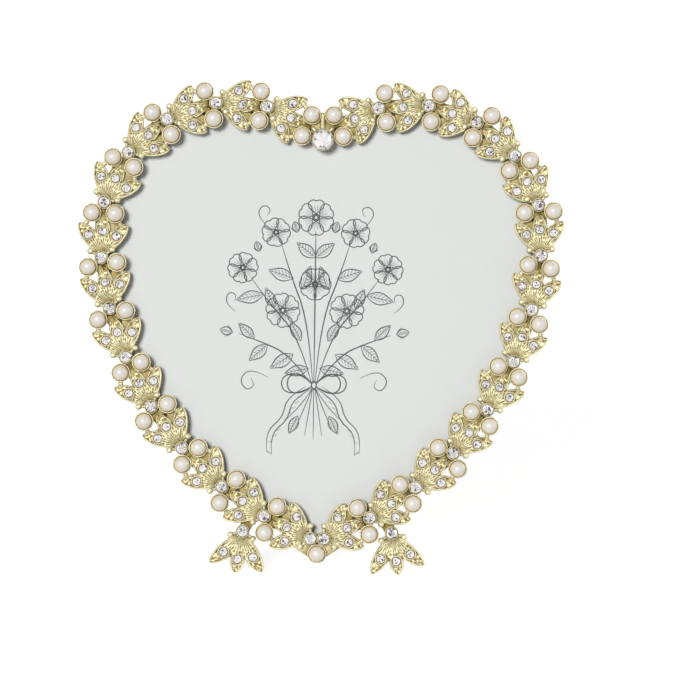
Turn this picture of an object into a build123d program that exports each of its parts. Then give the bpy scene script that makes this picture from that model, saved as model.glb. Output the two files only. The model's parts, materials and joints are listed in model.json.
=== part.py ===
from build123d import *
import math
import os

# Heart-shaped jewelled photo frame on two leaf feet and a folding easel strut.
# All sizes are millimetres and degrees. The frame is drawn face on: X to the right, Y up the frame
# from the heart's point, Z towards the viewer from the plane that the sprigs are soldered to.

# Heart line, which runs through the middle of the ring of sprigs
HEART_HEIGHT = 112.0
LOBE_SPACING = 45.6
LOBE_RADIUS = 33.7
SIDE_RADIUS = 85.0
CLEFT_SLOPE = 27.7

# Ring of sprigs
SPRIG_PITCH = 13.7
SPRIG_GAP = 0.15
CLEFT_GAP = 0.4
PEARL_ANGLES = {"close": 45.0, "open": 63.0}
RIGHT_ORDER = "close open open open close open close close close close open close open".split()
LEFT_ORDER = "close open open open close close open open close open close open open".split()

# Stones: pearls are round, crystals are eight-sided brilliants
PEARL_DIAMETER = 4.0
JOINT_CRYSTAL_DIAMETER = 3.0
LEAF_CRYSTAL_DIAMETER = 2.2
CLEFT_CRYSTAL_DIAMETER = 5.3
CRYSTAL_SIDES = 8
CROWN_SHARE = 0.2
PAVILION_SHARE = 0.42
TABLE_SHARE = 0.56
CULET_SHARE = 0.1
STONE_FLOOR = 0.35

# Clearances on the radius: what sits still in its seat or hole, and what turns in its hole
SEAT_CLEARANCE = 0.04
RUNNING_CLEARANCE = 0.06

# Settings cast on the sprigs
CUP_WALL = 0.4
CUP_HEIGHT = 1.7
SEAT_WALL = 0.12
BEZEL_WALL = 0.25
CLEFT_WALL = 0.15
SETTING_LIP = 0.12

# Leaves, studs and the webs that join them
LEAF_SHORT = 0.5
LEAF_WIDTH = 4.2
LEAF_ROOT = 0.6
LEAF_FAN = 35.0
LEAF_HEIGHT = 1.3
LEAF_DRAFT = 0.25
LEAF_RIM = 0.4
LEAF_SINK = 0.4
LEAF_STONE_AT = 0.6
STUD_DIAMETER = 1.7
STUD_STEM = 3.3
STUD_BEARING = 63.0
STUD_LIFT = 1.0
STEM_WIDTH = 0.9
WEB_WIDTH = 1.7
WEB_HEIGHT = 0.9

# Leaf feet
FOOT_BACK = 2.8
FOOT_OUT = 6.1
FOOT_SPLAY = 10.0
FOOT_LEAF_LENGTH = 11.2
FOOT_FLAT = 1.0
LUG_WIDTH = 3.0
LUG_LENGTH = 3.5

# Rim behind the sprigs, with its rabbet and the bosses for the turn buttons
RIM_INSIDE = 1.7
RIM_OUTSIDE = 1.5
FLANGE = 1.0
WALL = 0.8
BOSS_DIAMETER = 3.4
BOSS_SETBACK = 0.3
BOSS_SPRIGS = (3, 10)

# Stack in the rabbet, from the front
FIT_CLEARANCE = 0.3
GLASS_THICKNESS = 1.0
CARD_THICKNESS = 0.3
CARD_MARGIN = 0.3
FILLER_THICKNESS = 1.0
BOARD_THICKNESS = 2.0
VELVET_THICKNESS = 0.4

# Turn buttons and their screws
BUTTON_WIDTH = 4.2
BUTTON_LENGTH = 9.6
BUTTON_THICKNESS = 0.8
BUTTON_GAP = 0.1
SCREW_DIAMETER = 2.0
SCREW_HEAD_DIAMETER = 3.6
SCREW_HEAD_HEIGHT = 1.1
SCREW_COVER = 2.2
SCREW_SLOT_WIDTH = 0.6
SCREW_SLOT_DEPTH = 0.5

# Easel hinge and strut
LEAN = 10.0
STRUT_OPEN = 30.0
HINGE_BELOW_LOBES = 2.3
HINGE_STANDOFF = 0.15
HINGE_WIDTH = 16.0
HINGE_PLATE = 0.6
HINGE_PLATE_HEIGHT = 13.0
KNUCKLE_DIAMETER = 3.0
CENTRE_KNUCKLE = 6.2
KNUCKLE_GAP = 0.15
STOP_GAP = 0.1
PIN_DIAMETER = 1.5
RIVET_DIAMETER = 1.6
RIVET_HEAD_DIAMETER = 2.8
RIVET_HEAD_HEIGHT = 0.7
RIVET_SPACING = 9.0
STRUT_THICKNESS = 1.6
STRUT_TOP_WIDTH = 17.0
STRUT_FOOT_WIDTH = 30.0
STRUT_CLEARANCE = 0.4

# How far a cutting shape runs past the surface that it cuts through
CUT_PAST = 1.0

# What follows from the sizes above
cup_radius = PEARL_DIAMETER / 2 + CUP_WALL
seat_radius = JOINT_CRYSTAL_DIAMETER / 2 + SEAT_WALL
bezel_radius = LEAF_CRYSTAL_DIAMETER / 2 + BEZEL_WALL
cleft_radius = CLEFT_CRYSTAL_DIAMETER / 2 + CLEFT_WALL
nestle = seat_radius + cup_radius + SPRIG_GAP
pearl_height = STONE_FLOOR + PEARL_DIAMETER / 2

lobe = Vector(LOBE_SPACING / 2, HEART_HEIGHT - LOBE_RADIUS)
cleft_slope = math.radians(CLEFT_SLOPE)
cleft_run = (lobe.X - LOBE_RADIUS * math.sin(cleft_slope)) / math.cos(cleft_slope)
cleft_y = lobe.Y + LOBE_RADIUS * math.cos(cleft_slope) - cleft_run * math.sin(cleft_slope)

# The side arc runs inside the lobe arc and through the heart's point, which places its centre
side_along = (SIDE_RADIUS**2 - (SIDE_RADIUS - LOBE_RADIUS) ** 2 + lobe.length**2) / (2 * lobe.length)
side_across = math.sqrt(SIDE_RADIUS**2 - side_along**2)
lobe_way = lobe.normalized()
side = lobe_way * side_along + Vector(-lobe_way.Y, lobe_way.X) * side_across

lobe_start = cleft_slope + math.pi / 2
lobe_end = math.atan2(lobe.Y - side.Y, lobe.X - side.X)
side_end = math.atan2(-side.Y, -side.X)
lobe_run = (lobe_start - lobe_end) * LOBE_RADIUS
side_run = (lobe_end - side_end) * SIDE_RADIUS
heart_run = cleft_run + lobe_run + side_run

glass_grow = RIM_OUTSIDE - WALL - FIT_CLEARANCE
glass_back = -FLANGE - GLASS_THICKNESS
card_back = glass_back - CARD_THICKNESS
filler_back = card_back - FILLER_THICKNESS
board_back = filler_back - BOARD_THICKNESS
velvet_back = board_back - VELVET_THICKNESS


def polar(angle, length):
    """Vector in the face of the frame, at an angle in radians from X."""
    return Vector(math.cos(angle), math.sin(angle)) * length


def on_heart(run):
    """Point on the right half of the heart line and its outward direction, that far from the cleft."""
    if run <= cleft_run:
        return Vector(0, cleft_y) + polar(cleft_slope, run), polar(lobe_start, 1)
    if run <= cleft_run + lobe_run:
        angle = lobe_start - (run - cleft_run) / LOBE_RADIUS
        return lobe + polar(angle, LOBE_RADIUS), polar(angle, 1)
    angle = lobe_end - (run - cleft_run - lobe_run) / SIDE_RADIUS
    return side + polar(angle, SIDE_RADIUS), polar(angle, 1)


def heart_face(grow):
    """Face inside the heart line after it moves outward by grow."""
    cleft_top = Vector(0, cleft_y + grow / math.cos(cleft_slope))
    lobe_radius = LOBE_RADIUS + grow
    side_radius = SIDE_RADIUS + grow
    point_angle = -math.acos(-side.X / side_radius)
    half = [
        Line(cleft_top, lobe + polar(lobe_start, lobe_radius)),
        CenterArc(lobe, lobe_radius, math.degrees(lobe_start), math.degrees(lobe_end - lobe_start)),
        CenterArc(side, side_radius, math.degrees(lobe_end), math.degrees(point_angle - lobe_end)),
    ]
    other_half = [mirror(edge, about=Plane.YZ) for edge in half]
    return make_face(Curve() + half + other_half)


def heart_plate(grow, front, back):
    """Heart-shaped plate between two depths."""
    return Pos(0, 0, back) * extrude(heart_face(grow), front - back)


def block(x_low, x_high, y_low, y_high, z_low, z_high):
    """Box between two corners."""
    middle = Pos((x_low + x_high) / 2, (y_low + y_high) / 2, (z_low + z_high) / 2)
    return middle * Box(x_high - x_low, y_high - y_low, z_high - z_low)


def drum(radius, low, high):
    """Cylinder along Z between two heights."""
    return Pos(0, 0, (low + high) / 2) * Cylinder(radius, high - low)


# Stones and their pockets
def girdle_height(diameter):
    return STONE_FLOOR + SEAT_CLEARANCE + PAVILION_SHARE * diameter


def crystal(diameter):
    """Brilliant-cut crystal at its height in a setting that stands on Z 0."""
    radius = diameter / 2
    girdle_z = girdle_height(diameter)

    def facet_ring(share, height):
        return Pos(0, 0, height) * RegularPolygon(radius * share, CRYSTAL_SIDES)

    table = facet_ring(TABLE_SHARE, girdle_z + CROWN_SHARE * diameter)
    girdle = facet_ring(1, girdle_z)
    culet = facet_ring(CULET_SHARE, girdle_z - PAVILION_SHARE * diameter)
    return loft([culet, girdle], ruled=True) + loft([girdle, table], ruled=True)


def setting_height(diameter):
    return girdle_height(diameter) + SETTING_LIP


def crystal_pocket(diameter):
    """Space that a crystal needs in its setting, open at the top."""
    mouth = diameter / 2 + SEAT_CLEARANCE
    bottom = diameter / 2 * CULET_SHARE + SEAT_CLEARANCE
    depth = PAVILION_SHARE * diameter
    cone = Pos(0, 0, STONE_FLOOR + depth / 2) * Cone(bottom, mouth, depth)
    return cone + drum(mouth, STONE_FLOOR + depth, setting_height(diameter) + CUT_PAST)


def pearl():
    return Pos(0, 0, pearl_height) * Sphere(PEARL_DIAMETER / 2)


def pearl_pocket():
    return Pos(0, 0, pearl_height) * Sphere(PEARL_DIAMETER / 2 + SEAT_CLEARANCE)


# Cast sprigs: each starts at its crystal, and its leaves fan out along X towards its pearls
def lens(length, share, height):
    """Leaf outline along X, shrunk about its middle to a share of its size."""
    root = length * (1 - share) / 2
    tip = length - root
    half_width = LEAF_WIDTH * share / 2
    edges = [
        ThreePointArc((root, 0), (length / 2, half_width), (tip, 0)),
        ThreePointArc((tip, 0), (length / 2, -half_width), (root, 0)),
    ]
    return Pos(0, 0, height) * make_face(edges)


def leaf(length):
    """Raised-edged leaf from its root at the origin, with the bezel for its crystal."""
    crest = 1 - 2 * LEAF_DRAFT / LEAF_WIDTH
    mouth = crest - 2 * LEAF_RIM / LEAF_WIDTH
    bed = mouth - 2 * LEAF_DRAFT / LEAF_WIDTH
    body = loft([lens(length, 1, 0), lens(length, crest, LEAF_HEIGHT)], ruled=True)
    hollow = loft([lens(length, bed, LEAF_HEIGHT - LEAF_SINK), lens(length, mouth, LEAF_HEIGHT)], ruled=True)
    bezel = Pos(length * LEAF_STONE_AT, 0, 0) * drum(bezel_radius, 0, setting_height(LEAF_CRYSTAL_DIAMETER))
    return body - hollow + bezel


def fan_places(length):
    """Where the three leaves of a fan stand, and where their crystals sit."""
    leaves = [Pos(LEAF_ROOT, 0, 0) * Rot(Z=turn * LEAF_FAN) for turn in (-1, 0, 1)]
    return leaves, [place * Pos(length * LEAF_STONE_AT, 0, 0) for place in leaves]


def stud(bearing):
    """Small ball on a stem beside the crystal, at an angle from the middle leaf."""
    ball = Pos(STUD_STEM, 0, STUD_LIFT) * Sphere(STUD_DIAMETER / 2)
    bar = block(0, STUD_STEM, -STEM_WIDTH / 2, STEM_WIDTH / 2, 0, WEB_HEIGHT)
    flat = block(0, STUD_STEM + STUD_DIAMETER, -STUD_DIAMETER, STUD_DIAMETER, -STUD_DIAMETER, 0)
    return Rot(Z=bearing) * (ball + bar - flat - crystal_pocket(JOINT_CRYSTAL_DIAMETER))


def leaf_fan(length):
    """Three leaves and the crystal's seat, before any pocket is cut."""
    places, _ = fan_places(length)
    seat = drum(seat_radius, 0, setting_height(JOINT_CRYSTAL_DIAMETER))
    return seat + [place * leaf(length) for place in places]


def fan_pockets(length):
    _, stones = fan_places(length)
    pockets = [place * crystal_pocket(LEAF_CRYSTAL_DIAMETER) for place in stones]
    return pockets + [crystal_pocket(JOINT_CRYSTAL_DIAMETER)]


def pearl_places(reach, form):
    across = nestle * math.sin(math.radians(PEARL_ANGLES[form]))
    return [Pos(reach, hand * across, 0) for hand in (-1, 1)]


def sprig_leaf_length(reach):
    return reach - LEAF_ROOT - LEAF_SHORT


def sprig(reach, form):
    """One sprig of the ring without its studs, with its pearls this far from its crystal."""
    places = pearl_places(reach, form)
    length = sprig_leaf_length(reach)
    across = places[1].position.Y
    end = reach + nestle_step(form) - seat_radius - SPRIG_GAP
    spine = block(0, end, -WEB_WIDTH / 2, WEB_WIDTH / 2, 0, WEB_HEIGHT)
    bridge = block(end - WEB_WIDTH, end, -across, across, 0, WEB_HEIGHT)
    cups = [place * drum(cup_radius, 0, CUP_HEIGHT) for place in places]
    body = leaf_fan(length) + spine + bridge + cups
    return body - fan_pockets(length) - [place * pearl_pocket() for place in places]


def stud_bearings(place, next_cups):
    """Angles of a sprig's two studs, which lean towards its leaves where the next sprig's cups need room."""
    apart = cup_radius + STUD_DIAMETER / 2 + SPRIG_GAP
    room = math.degrees(math.acos((STUD_STEM**2 + nestle**2 - apart**2) / (2 * STUD_STEM * nestle)))
    bearings = []
    for hand in (-1, 1):
        cups = [(place.inverse() * cup).position for cup in next_cups]
        limits = [math.degrees(math.atan2(hand * cup.Y, cup.X)) - room for cup in cups if hand * cup.Y > 0]
        bearings.append(hand * min(limits + [STUD_BEARING]))
    return bearings


def foot():
    fan = leaf_fan(FOOT_LEAF_LENGTH) - fan_pockets(FOOT_LEAF_LENGTH)
    return fan + [stud(hand * STUD_BEARING) for hand in (-1, 1)]


# Layout of the ring: each sprig stands at its crystal and points at the crystal before it
def nestle_step(form):
    return nestle * math.cos(math.radians(PEARL_ANGLES[form]))


def ring_layout(order):
    """Right-hand place, form and distance from the cleft of each sprig, and the reach to its pearls."""
    end_gap = (seat_radius + SPRIG_GAP / 2) / math.cos(side_end + math.pi / 2)
    run_length = heart_run - end_gap
    forms = [order[i % len(order)] for i in range(round(run_length / SPRIG_PITCH))]
    first_across = nestle * math.sin(math.radians(PEARL_ANGLES[forms[0]]))
    first_side = cup_radius + CLEFT_GAP / 2 + first_across * math.sin(cleft_slope)
    steps = [first_side / math.cos(cleft_slope)] + [nestle_step(form) for form in forms[1:]]
    reach = (run_length - sum(steps)) / len(forms)
    layout = []
    run = 0
    before = Vector(0, cleft_y)
    for form, step in zip(forms, steps):
        run += step + reach
        point, _ = on_heart(run)
        towards = before - point
        layout.append((Location(Plane(point, x_dir=towards, z_dir=(0, 0, 1))), form, run))
        before = point
    return layout, reach


def left_of(place):
    """The place mirrored to the left half, for a piece that is the same on both sides of its own X."""
    plane = Plane(place)
    origin = Vector(-plane.origin.X, plane.origin.Y, plane.origin.Z)
    heading = Vector(-plane.x_dir.X, plane.x_dir.Y, plane.x_dir.Z)
    return Location(Plane(origin, x_dir=heading, z_dir=plane.z_dir))


right_ring, right_reach = ring_layout(RIGHT_ORDER)
left_ring, left_reach = ring_layout(LEFT_ORDER)
left_ring = [(left_of(place), form, run) for place, form, run in left_ring]

# The cleft crystal hangs between the two lowest cups of the first sprigs, and the last pearl under
# the two crystals at the heart's point
first_cups = [right_ring[0][0] * place for place in pearl_places(right_reach, right_ring[0][1])]
low_cup = min((place.position for place in first_cups), key=lambda point: point.Y)
cleft_touch = cleft_radius + cup_radius + SPRIG_GAP
cleft_place = Pos(0, low_cup.Y - math.sqrt(max(cleft_touch**2 - low_cup.X**2, 0)), 0)
last_crystal = right_ring[-1][0].position
point_place = Pos(0, last_crystal.Y - math.sqrt(nestle**2 - last_crystal.X**2), 0)

# The feet hang outside the last crystal but one, and set the line that the frame stands on
foot_root, foot_way = on_heart(right_ring[-2][2] - FOOT_BACK)
foot_point = foot_root + foot_way * FOOT_OUT
foot_heading = math.radians(FOOT_SPLAY - 90)
foot_places = {"right": Location(Plane(foot_point, x_dir=polar(foot_heading, 1), z_dir=(0, 0, 1)))}
foot_places["left"] = left_of(foot_places["right"])
foot_tip = foot_point + polar(foot_heading, LEAF_ROOT + FOOT_LEAF_LENGTH)
standing_y = foot_tip.Y + FOOT_FLAT

# Turn buttons: behind the outer leaves of some sprigs, just outside the rim, with their noses inward
boss_out = RIM_OUTSIDE - WALL + BOSS_DIAMETER / 2 + BOSS_SETBACK
button_places = []
for ring, reach, turned in ((left_ring, left_reach, left_of), (right_ring, right_reach, Location)):
    leaf_back = LEAF_ROOT + sprig_leaf_length(reach) * LEAF_STONE_AT * math.cos(math.radians(LEAF_FAN))
    for number in BOSS_SPRIGS:
        point, outward = on_heart(ring[number - 1][2] - leaf_back)
        boss = Plane(point + outward * boss_out, x_dir=-outward, z_dir=(0, 0, 1))
        button_places.append(turned(Location(boss)))

boss_back = velvet_back - BUTTON_GAP / 2
button_front = boss_back - BUTTON_GAP
button_back = button_front - BUTTON_THICKNESS
screw_seat = button_back - BUTTON_GAP
screw_tip = -SCREW_COVER


def rim():
    """Heart band that carries the sprigs, with the rabbet wall, foot lugs and screw bosses behind it."""
    body = heart_plate(RIM_OUTSIDE, 0, board_back)
    body -= heart_plate(-RIM_INSIDE, CUT_PAST, board_back - CUT_PAST)
    body -= heart_plate(RIM_OUTSIDE - WALL, -FLANGE, board_back - CUT_PAST)
    for hand in (-1, 1):
        root = Vector(hand * foot_root.X, foot_root.Y)
        end = Vector(hand * foot_point.X, foot_point.Y)
        way = (end - root).normalized()
        reach = (end - root).length + LUG_WIDTH / 2
        arm = Location(Plane(root, x_dir=way, z_dir=(0, 0, 1)))
        heel = Location(Plane(end, x_dir=(0, -1, 0), z_dir=(0, 0, 1)))
        body += arm * block(0, reach, -LUG_WIDTH / 2, LUG_WIDTH / 2, -FLANGE, 0)
        body += heel * block(0, LUG_LENGTH, -LUG_WIDTH / 2, LUG_WIDTH / 2, -FLANGE, 0)
    for place in button_places:
        body += place * drum(BOSS_DIAMETER / 2, boss_back, 0)
    hole = drum(SCREW_DIAMETER / 2 + SEAT_CLEARANCE, boss_back - CUT_PAST, screw_tip + BUTTON_GAP)
    return body - [place * hole for place in button_places]


def turn_button():
    """Flat swivel clip that pivots on its screw, with its nose along X."""
    nose = BUTTON_LENGTH - BUTTON_WIDTH
    plate = block(0, nose, -BUTTON_WIDTH / 2, BUTTON_WIDTH / 2, button_back, button_front)
    ends = [Pos(x, 0, 0) * drum(BUTTON_WIDTH / 2, button_back, button_front) for x in (0, nose)]
    hole = drum(SCREW_DIAMETER / 2 + RUNNING_CLEARANCE, button_back - CUT_PAST, button_front + CUT_PAST)
    return plate + ends - hole


def button_screw():
    head = drum(SCREW_HEAD_DIAMETER / 2, screw_seat - SCREW_HEAD_HEIGHT, screw_seat)
    slot_top = screw_seat - SCREW_HEAD_HEIGHT
    slot = block(
        -SCREW_HEAD_DIAMETER, SCREW_HEAD_DIAMETER,
        -SCREW_SLOT_WIDTH / 2, SCREW_SLOT_WIDTH / 2,
        slot_top - CUT_PAST, slot_top + SCREW_SLOT_DEPTH,
    )
    return head - slot + drum(SCREW_DIAMETER / 2, screw_seat, screw_tip)


# Easel hinge, drawn folded: the pin runs along X through this point
pin_y = lobe.Y - HINGE_BELOW_LOBES
pin_z = velvet_back - HINGE_STANDOFF - KNUCKLE_DIAMETER / 2
plate_back = velvet_back - HINGE_PLATE
strut_plate_back = pin_z - KNUCKLE_DIAMETER / 2
strut_plate_front = strut_plate_back + HINGE_PLATE
strut_velvet_front = strut_plate_front + VELVET_THICKNESS
strut_front = strut_velvet_front + STRUT_THICKNESS
knuckle_top = KNUCKLE_DIAMETER / 2 + STRUT_CLEARANCE
strut_top = pin_y - knuckle_top
fixed_inner = CENTRE_KNUCKLE / 2 + KNUCKLE_GAP
half_hinge = HINGE_WIDTH / 2
lean_angle = math.radians(LEAN)
open_angle = math.radians(STRUT_OPEN)
stop_room = plate_back - STOP_GAP - pin_z + (pin_z - strut_plate_front) * math.cos(open_angle)
stop_reach = stop_room / math.sin(open_angle)
rivet_drop = knuckle_top + (HINGE_PLATE_HEIGHT - knuckle_top) / 2


def rod_x(radius, x_low, x_high):
    """Cylinder along the hinge pin."""
    length = x_high - x_low
    return Pos((x_low + x_high) / 2, pin_y, pin_z) * Rot(Y=90) * Cylinder(radius, length)


def rivet_points(y):
    return [Pos(hand * RIVET_SPACING / 2, y, 0) for hand in (-1, 1)]


def rivet_holes(y):
    hole = drum(RIVET_DIAMETER / 2 + SEAT_CLEARANCE, strut_plate_back - CUT_PAST, 0)
    return [point * hole for point in rivet_points(y)]


def rivets(y, back, front):
    """Two rivets whose heads stand on the back of a hinge plate."""
    head = drum(RIVET_HEAD_DIAMETER / 2, back - RIVET_HEAD_HEIGHT, back)
    shank = drum(RIVET_DIAMETER / 2, back, front)
    return [point * (head + shank) for point in rivet_points(y)]


def frame_hinge_plate():
    """Hinge leaf on the back panel, with a knuckle at each side."""
    top = pin_y + HINGE_PLATE_HEIGHT
    body = block(-half_hinge, half_hinge, pin_y + knuckle_top, top, plate_back, velvet_back)
    for low, high in ((-half_hinge, -fixed_inner), (fixed_inner, half_hinge)):
        body += block(low, high, pin_y, pin_y + knuckle_top, plate_back, velvet_back)
        body += rod_x(KNUCKLE_DIAMETER / 2, low, high)
    bore = rod_x(PIN_DIAMETER / 2 + SEAT_CLEARANCE, -half_hinge - CUT_PAST, half_hinge + CUT_PAST)
    return body - bore - rivet_holes(pin_y + rivet_drop)


def strut_hinge_plate():
    """Hinge leaf on the strut, with the centre knuckle and the tail that stops the opening."""
    half_centre = CENTRE_KNUCKLE / 2
    plate = block(
        -half_hinge, half_hinge,
        pin_y - HINGE_PLATE_HEIGHT, pin_y - knuckle_top,
        strut_plate_back, strut_plate_front,
    )
    tongue = block(
        -half_centre, half_centre,
        pin_y - knuckle_top, pin_y + stop_reach,
        strut_plate_back, strut_plate_front,
    )
    body = plate + tongue + rod_x(KNUCKLE_DIAMETER / 2, -half_centre, half_centre)
    bore = rod_x(PIN_DIAMETER / 2 + RUNNING_CLEARANCE, -half_hinge, half_hinge)
    return body - bore - rivet_holes(pin_y - rivet_drop)


def strut_plate(front, back):
    """Tapered strut outline between two depths, long enough to pass the floor when it is open."""
    pin_height = (pin_y - standing_y) * math.cos(lean_angle) + pin_z * math.sin(lean_angle)
    foot_y = pin_y - pin_height / math.cos(open_angle - lean_angle) - 2 * STRUT_THICKNESS
    outline = Polyline(
        (-STRUT_TOP_WIDTH / 2, strut_top), (STRUT_TOP_WIDTH / 2, strut_top),
        (STRUT_FOOT_WIDTH / 2, foot_y), (-STRUT_FOOT_WIDTH / 2, foot_y),
        close=True,
    )
    body = Pos(0, 0, back) * extrude(make_face(outline), front - back)
    return body - rivet_holes(pin_y - rivet_drop)


# Everything stands: the frame leans back, and its foot tips and the strut's end are cut flat on the floor
upright = Rot(X=90 - LEAN)
floor_z = standing_y * math.cos(lean_angle)
settle = Pos(0, 0, -floor_z) * upright
strut_swing = Pos(0, pin_y, pin_z) * Rot(X=STRUT_OPEN) * Pos(0, -pin_y, -pin_z)
below_floor = Pos(0, 0, -HEART_HEIGHT) * Box(4 * HEART_HEIGHT, 4 * HEART_HEIGHT, 2 * HEART_HEIGHT)

pieces = {"rim": [settle * rim()]}
pearls = {"left": [], "right": []}
joint_crystals = {"left": [], "right": []}
leaf_crystals = {"left": [], "right": []}
foot_crystals = []
joint_crystal = crystal(JOINT_CRYSTAL_DIAMETER)
leaf_crystal = crystal(LEAF_CRYSTAL_DIAMETER)

for hand, ring, reach in (("left", left_ring, left_reach), ("right", right_ring, right_reach)):
    castings = {form: sprig(reach, form) for form in PEARL_ANGLES}
    leaf_spots = fan_places(sprig_leaf_length(reach))[1]
    cups = [[place * cup for cup in pearl_places(reach, form)] for place, form, _ in ring] + [[]]
    for number, (place, form, _) in enumerate(ring, 1):
        at = settle * place
        studs = [stud(bearing) for bearing in stud_bearings(place, cups[number])]
        pieces[f"sprig_{hand}_{number:02d}"] = [at * (castings[form] + studs)]
        pearls[hand] += [at * spot * pearl() for spot in pearl_places(reach, form)]
        joint_crystals[hand].append(at * joint_crystal)
        leaf_crystals[hand] += [at * spot * leaf_crystal for spot in leaf_spots]
    foot_at = settle * foot_places[hand]
    pieces[f"foot_{hand}"] = [foot_at * foot() - below_floor]
    foot_crystals.append(foot_at * joint_crystal)
    foot_crystals += [foot_at * spot * leaf_crystal for spot in fan_places(FOOT_LEAF_LENGTH)[1]]

cleft_cup = drum(cleft_radius, 0, setting_height(CLEFT_CRYSTAL_DIAMETER))
cleft_cup -= crystal_pocket(CLEFT_CRYSTAL_DIAMETER)
point_cup = drum(cup_radius, 0, CUP_HEIGHT) - pearl_pocket()
pieces["cleft_setting"] = [settle * cleft_place * cleft_cup]
pieces["point_setting"] = [settle * point_place * point_cup]

for hand in ("left", "right"):
    pieces[f"pearls_{hand}"] = pearls[hand]
    pieces[f"joint_crystals_{hand}"] = joint_crystals[hand]
    pieces[f"leaf_crystals_{hand}"] = leaf_crystals[hand]
pieces["foot_crystals"] = foot_crystals
pieces["cleft_crystal"] = [settle * cleft_place * crystal(CLEFT_CRYSTAL_DIAMETER)]
pieces["point_pearl"] = [settle * point_place * pearl()]

frame_rivet_y = pin_y + rivet_drop
strut_rivet_y = pin_y - rivet_drop
back_board = heart_plate(glass_grow, filler_back, board_back) - rivet_holes(frame_rivet_y)
back_velvet = heart_plate(glass_grow, board_back, velvet_back) - rivet_holes(frame_rivet_y)
pieces["glass"] = [settle * heart_plate(glass_grow, -FLANGE, glass_back)]
pieces["photo_card"] = [settle * heart_plate(glass_grow - CARD_MARGIN, glass_back, card_back)]
pieces["filler_board"] = [settle * heart_plate(glass_grow - CARD_MARGIN, card_back, filler_back)]
pieces["back_board"] = [settle * back_board]
pieces["back_velvet"] = [settle * back_velvet]
pieces["frame_hinge_plate"] = [settle * frame_hinge_plate()]
pieces["frame_hinge_rivets"] = [settle * rivet for rivet in rivets(frame_rivet_y, plate_back, filler_back)]
pieces["hinge_pin"] = [settle * rod_x(PIN_DIAMETER / 2, -half_hinge, half_hinge)]

swung = settle * strut_swing
pieces["strut_board"] = [swung * strut_plate(strut_front, strut_velvet_front) - below_floor]
pieces["strut_velvet"] = [swung * strut_plate(strut_velvet_front, strut_plate_front) - below_floor]
pieces["strut_hinge_plate"] = [swung * strut_hinge_plate()]
strut_rivets = rivets(strut_rivet_y, strut_plate_back, strut_front)
pieces["strut_hinge_rivets"] = [swung * rivet for rivet in strut_rivets]

for number, place in enumerate(button_places, 1):
    pieces[f"turn_button_{number}"] = [settle * place * turn_button()]
pieces["button_screws"] = [settle * place * button_screw() for place in button_places]

# The origin is on the floor under the middle of the whole object
boxes = [solid.bounding_box() for solids in pieces.values() for solid in solids]
middle_y = (min(box.min.Y for box in boxes) + max(box.max.Y for box in boxes)) / 2
centre = Pos(0, -middle_y, 0)
hinge_place = centre * settle * Pos(0, pin_y, pin_z)
button_axes = [centre * settle * place for place in button_places]

os.makedirs("parts", exist_ok=True)
for name, solids in pieces.items():
    placed = [solid for shape in solids for solid in (centre * shape).solids()]
    export_step(placed[0] if len(placed) == 1 else Compound(placed), f"parts/{name}.step")

print("sprigs a side", len(right_ring), "pearl reach", round(left_reach, 3), round(right_reach, 3))
print("hinge pin at", hinge_place.position)
print("turn buttons at", [place.position for place in button_axes])
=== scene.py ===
import json
import math
import random

import bmesh
import bpy
from mathutils import Matrix, Vector, noise


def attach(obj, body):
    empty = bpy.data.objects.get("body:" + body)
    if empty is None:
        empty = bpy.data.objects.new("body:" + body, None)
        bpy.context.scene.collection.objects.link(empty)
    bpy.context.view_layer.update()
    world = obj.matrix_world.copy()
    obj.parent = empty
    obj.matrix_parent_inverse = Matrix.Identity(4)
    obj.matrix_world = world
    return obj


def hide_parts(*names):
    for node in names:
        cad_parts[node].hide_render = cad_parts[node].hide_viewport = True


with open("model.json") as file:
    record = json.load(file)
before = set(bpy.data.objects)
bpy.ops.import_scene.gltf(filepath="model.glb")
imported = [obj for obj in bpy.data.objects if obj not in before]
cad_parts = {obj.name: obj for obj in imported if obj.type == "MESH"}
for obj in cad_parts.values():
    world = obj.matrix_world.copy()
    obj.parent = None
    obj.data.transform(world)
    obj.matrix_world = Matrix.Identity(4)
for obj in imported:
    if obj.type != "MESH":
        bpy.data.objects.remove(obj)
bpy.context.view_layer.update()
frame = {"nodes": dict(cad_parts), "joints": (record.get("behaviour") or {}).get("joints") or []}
nodes = frame["nodes"]
scene = bpy.context.scene
scene.view_settings.view_transform = "Standard"
# sizes in the dictionaries are millimetres and degrees, unless a note says otherwise
mm = 0.001
castWeld = 1e-5  # millimetres, for a new shape
cadWeld = 1e-6  # metres, for a copy of a CAD mesh
cutWeld = 1e-8  # metres, for the cut under a foot
unmoved = Matrix.Identity(4)
hands = ("left", "right")
dice = random.Random(7)
print("frame loaded:", len(nodes), "nodes")

# the face of the frame: to the right, up the frame, and out of it towards the viewer
buttonTurn = next(j for j in frame["joints"] if j["name"] == "turn_button_1_turn")
faceOut = Vector(buttonTurn["axis"]).normalized()
faceRight = Vector((1, 0, 0))
faceUp = faceOut.cross(faceRight)
rimFront = max(v.co.dot(faceOut) for v in nodes["rim"].data.vertices)


def toFace(point):
    # millimetres in the face, with the height above the plane that the sprigs are soldered to
    return Vector((point.dot(faceRight), point.dot(faceUp), point.dot(faceOut) - rimFront)) / mm


def faceMatrix(x, y, z=0.0, turn=0.0):
    along = faceRight * math.cos(turn) + faceUp * math.sin(turn)
    across = faceOut.cross(along)
    origin = (faceRight * x + faceUp * y + faceOut * z) * mm + faceOut * rimFront
    place = Matrix.Identity(4)
    for column, axis in enumerate((along * mm, across * mm, faceOut * mm, origin)):
        for row in range(3):
            place[row][column] = axis[row]
    return place


def rise(value, low, high):
    share = min(1.0, max(0.0, (value - low) / (high - low)))
    return share * share * (3 - 2 * share)


def fall(value, depth, width):
    # the whole depth at an edge, and nothing from its width inwards
    return depth * (1 - rise(value, 0.0, width))


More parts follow.
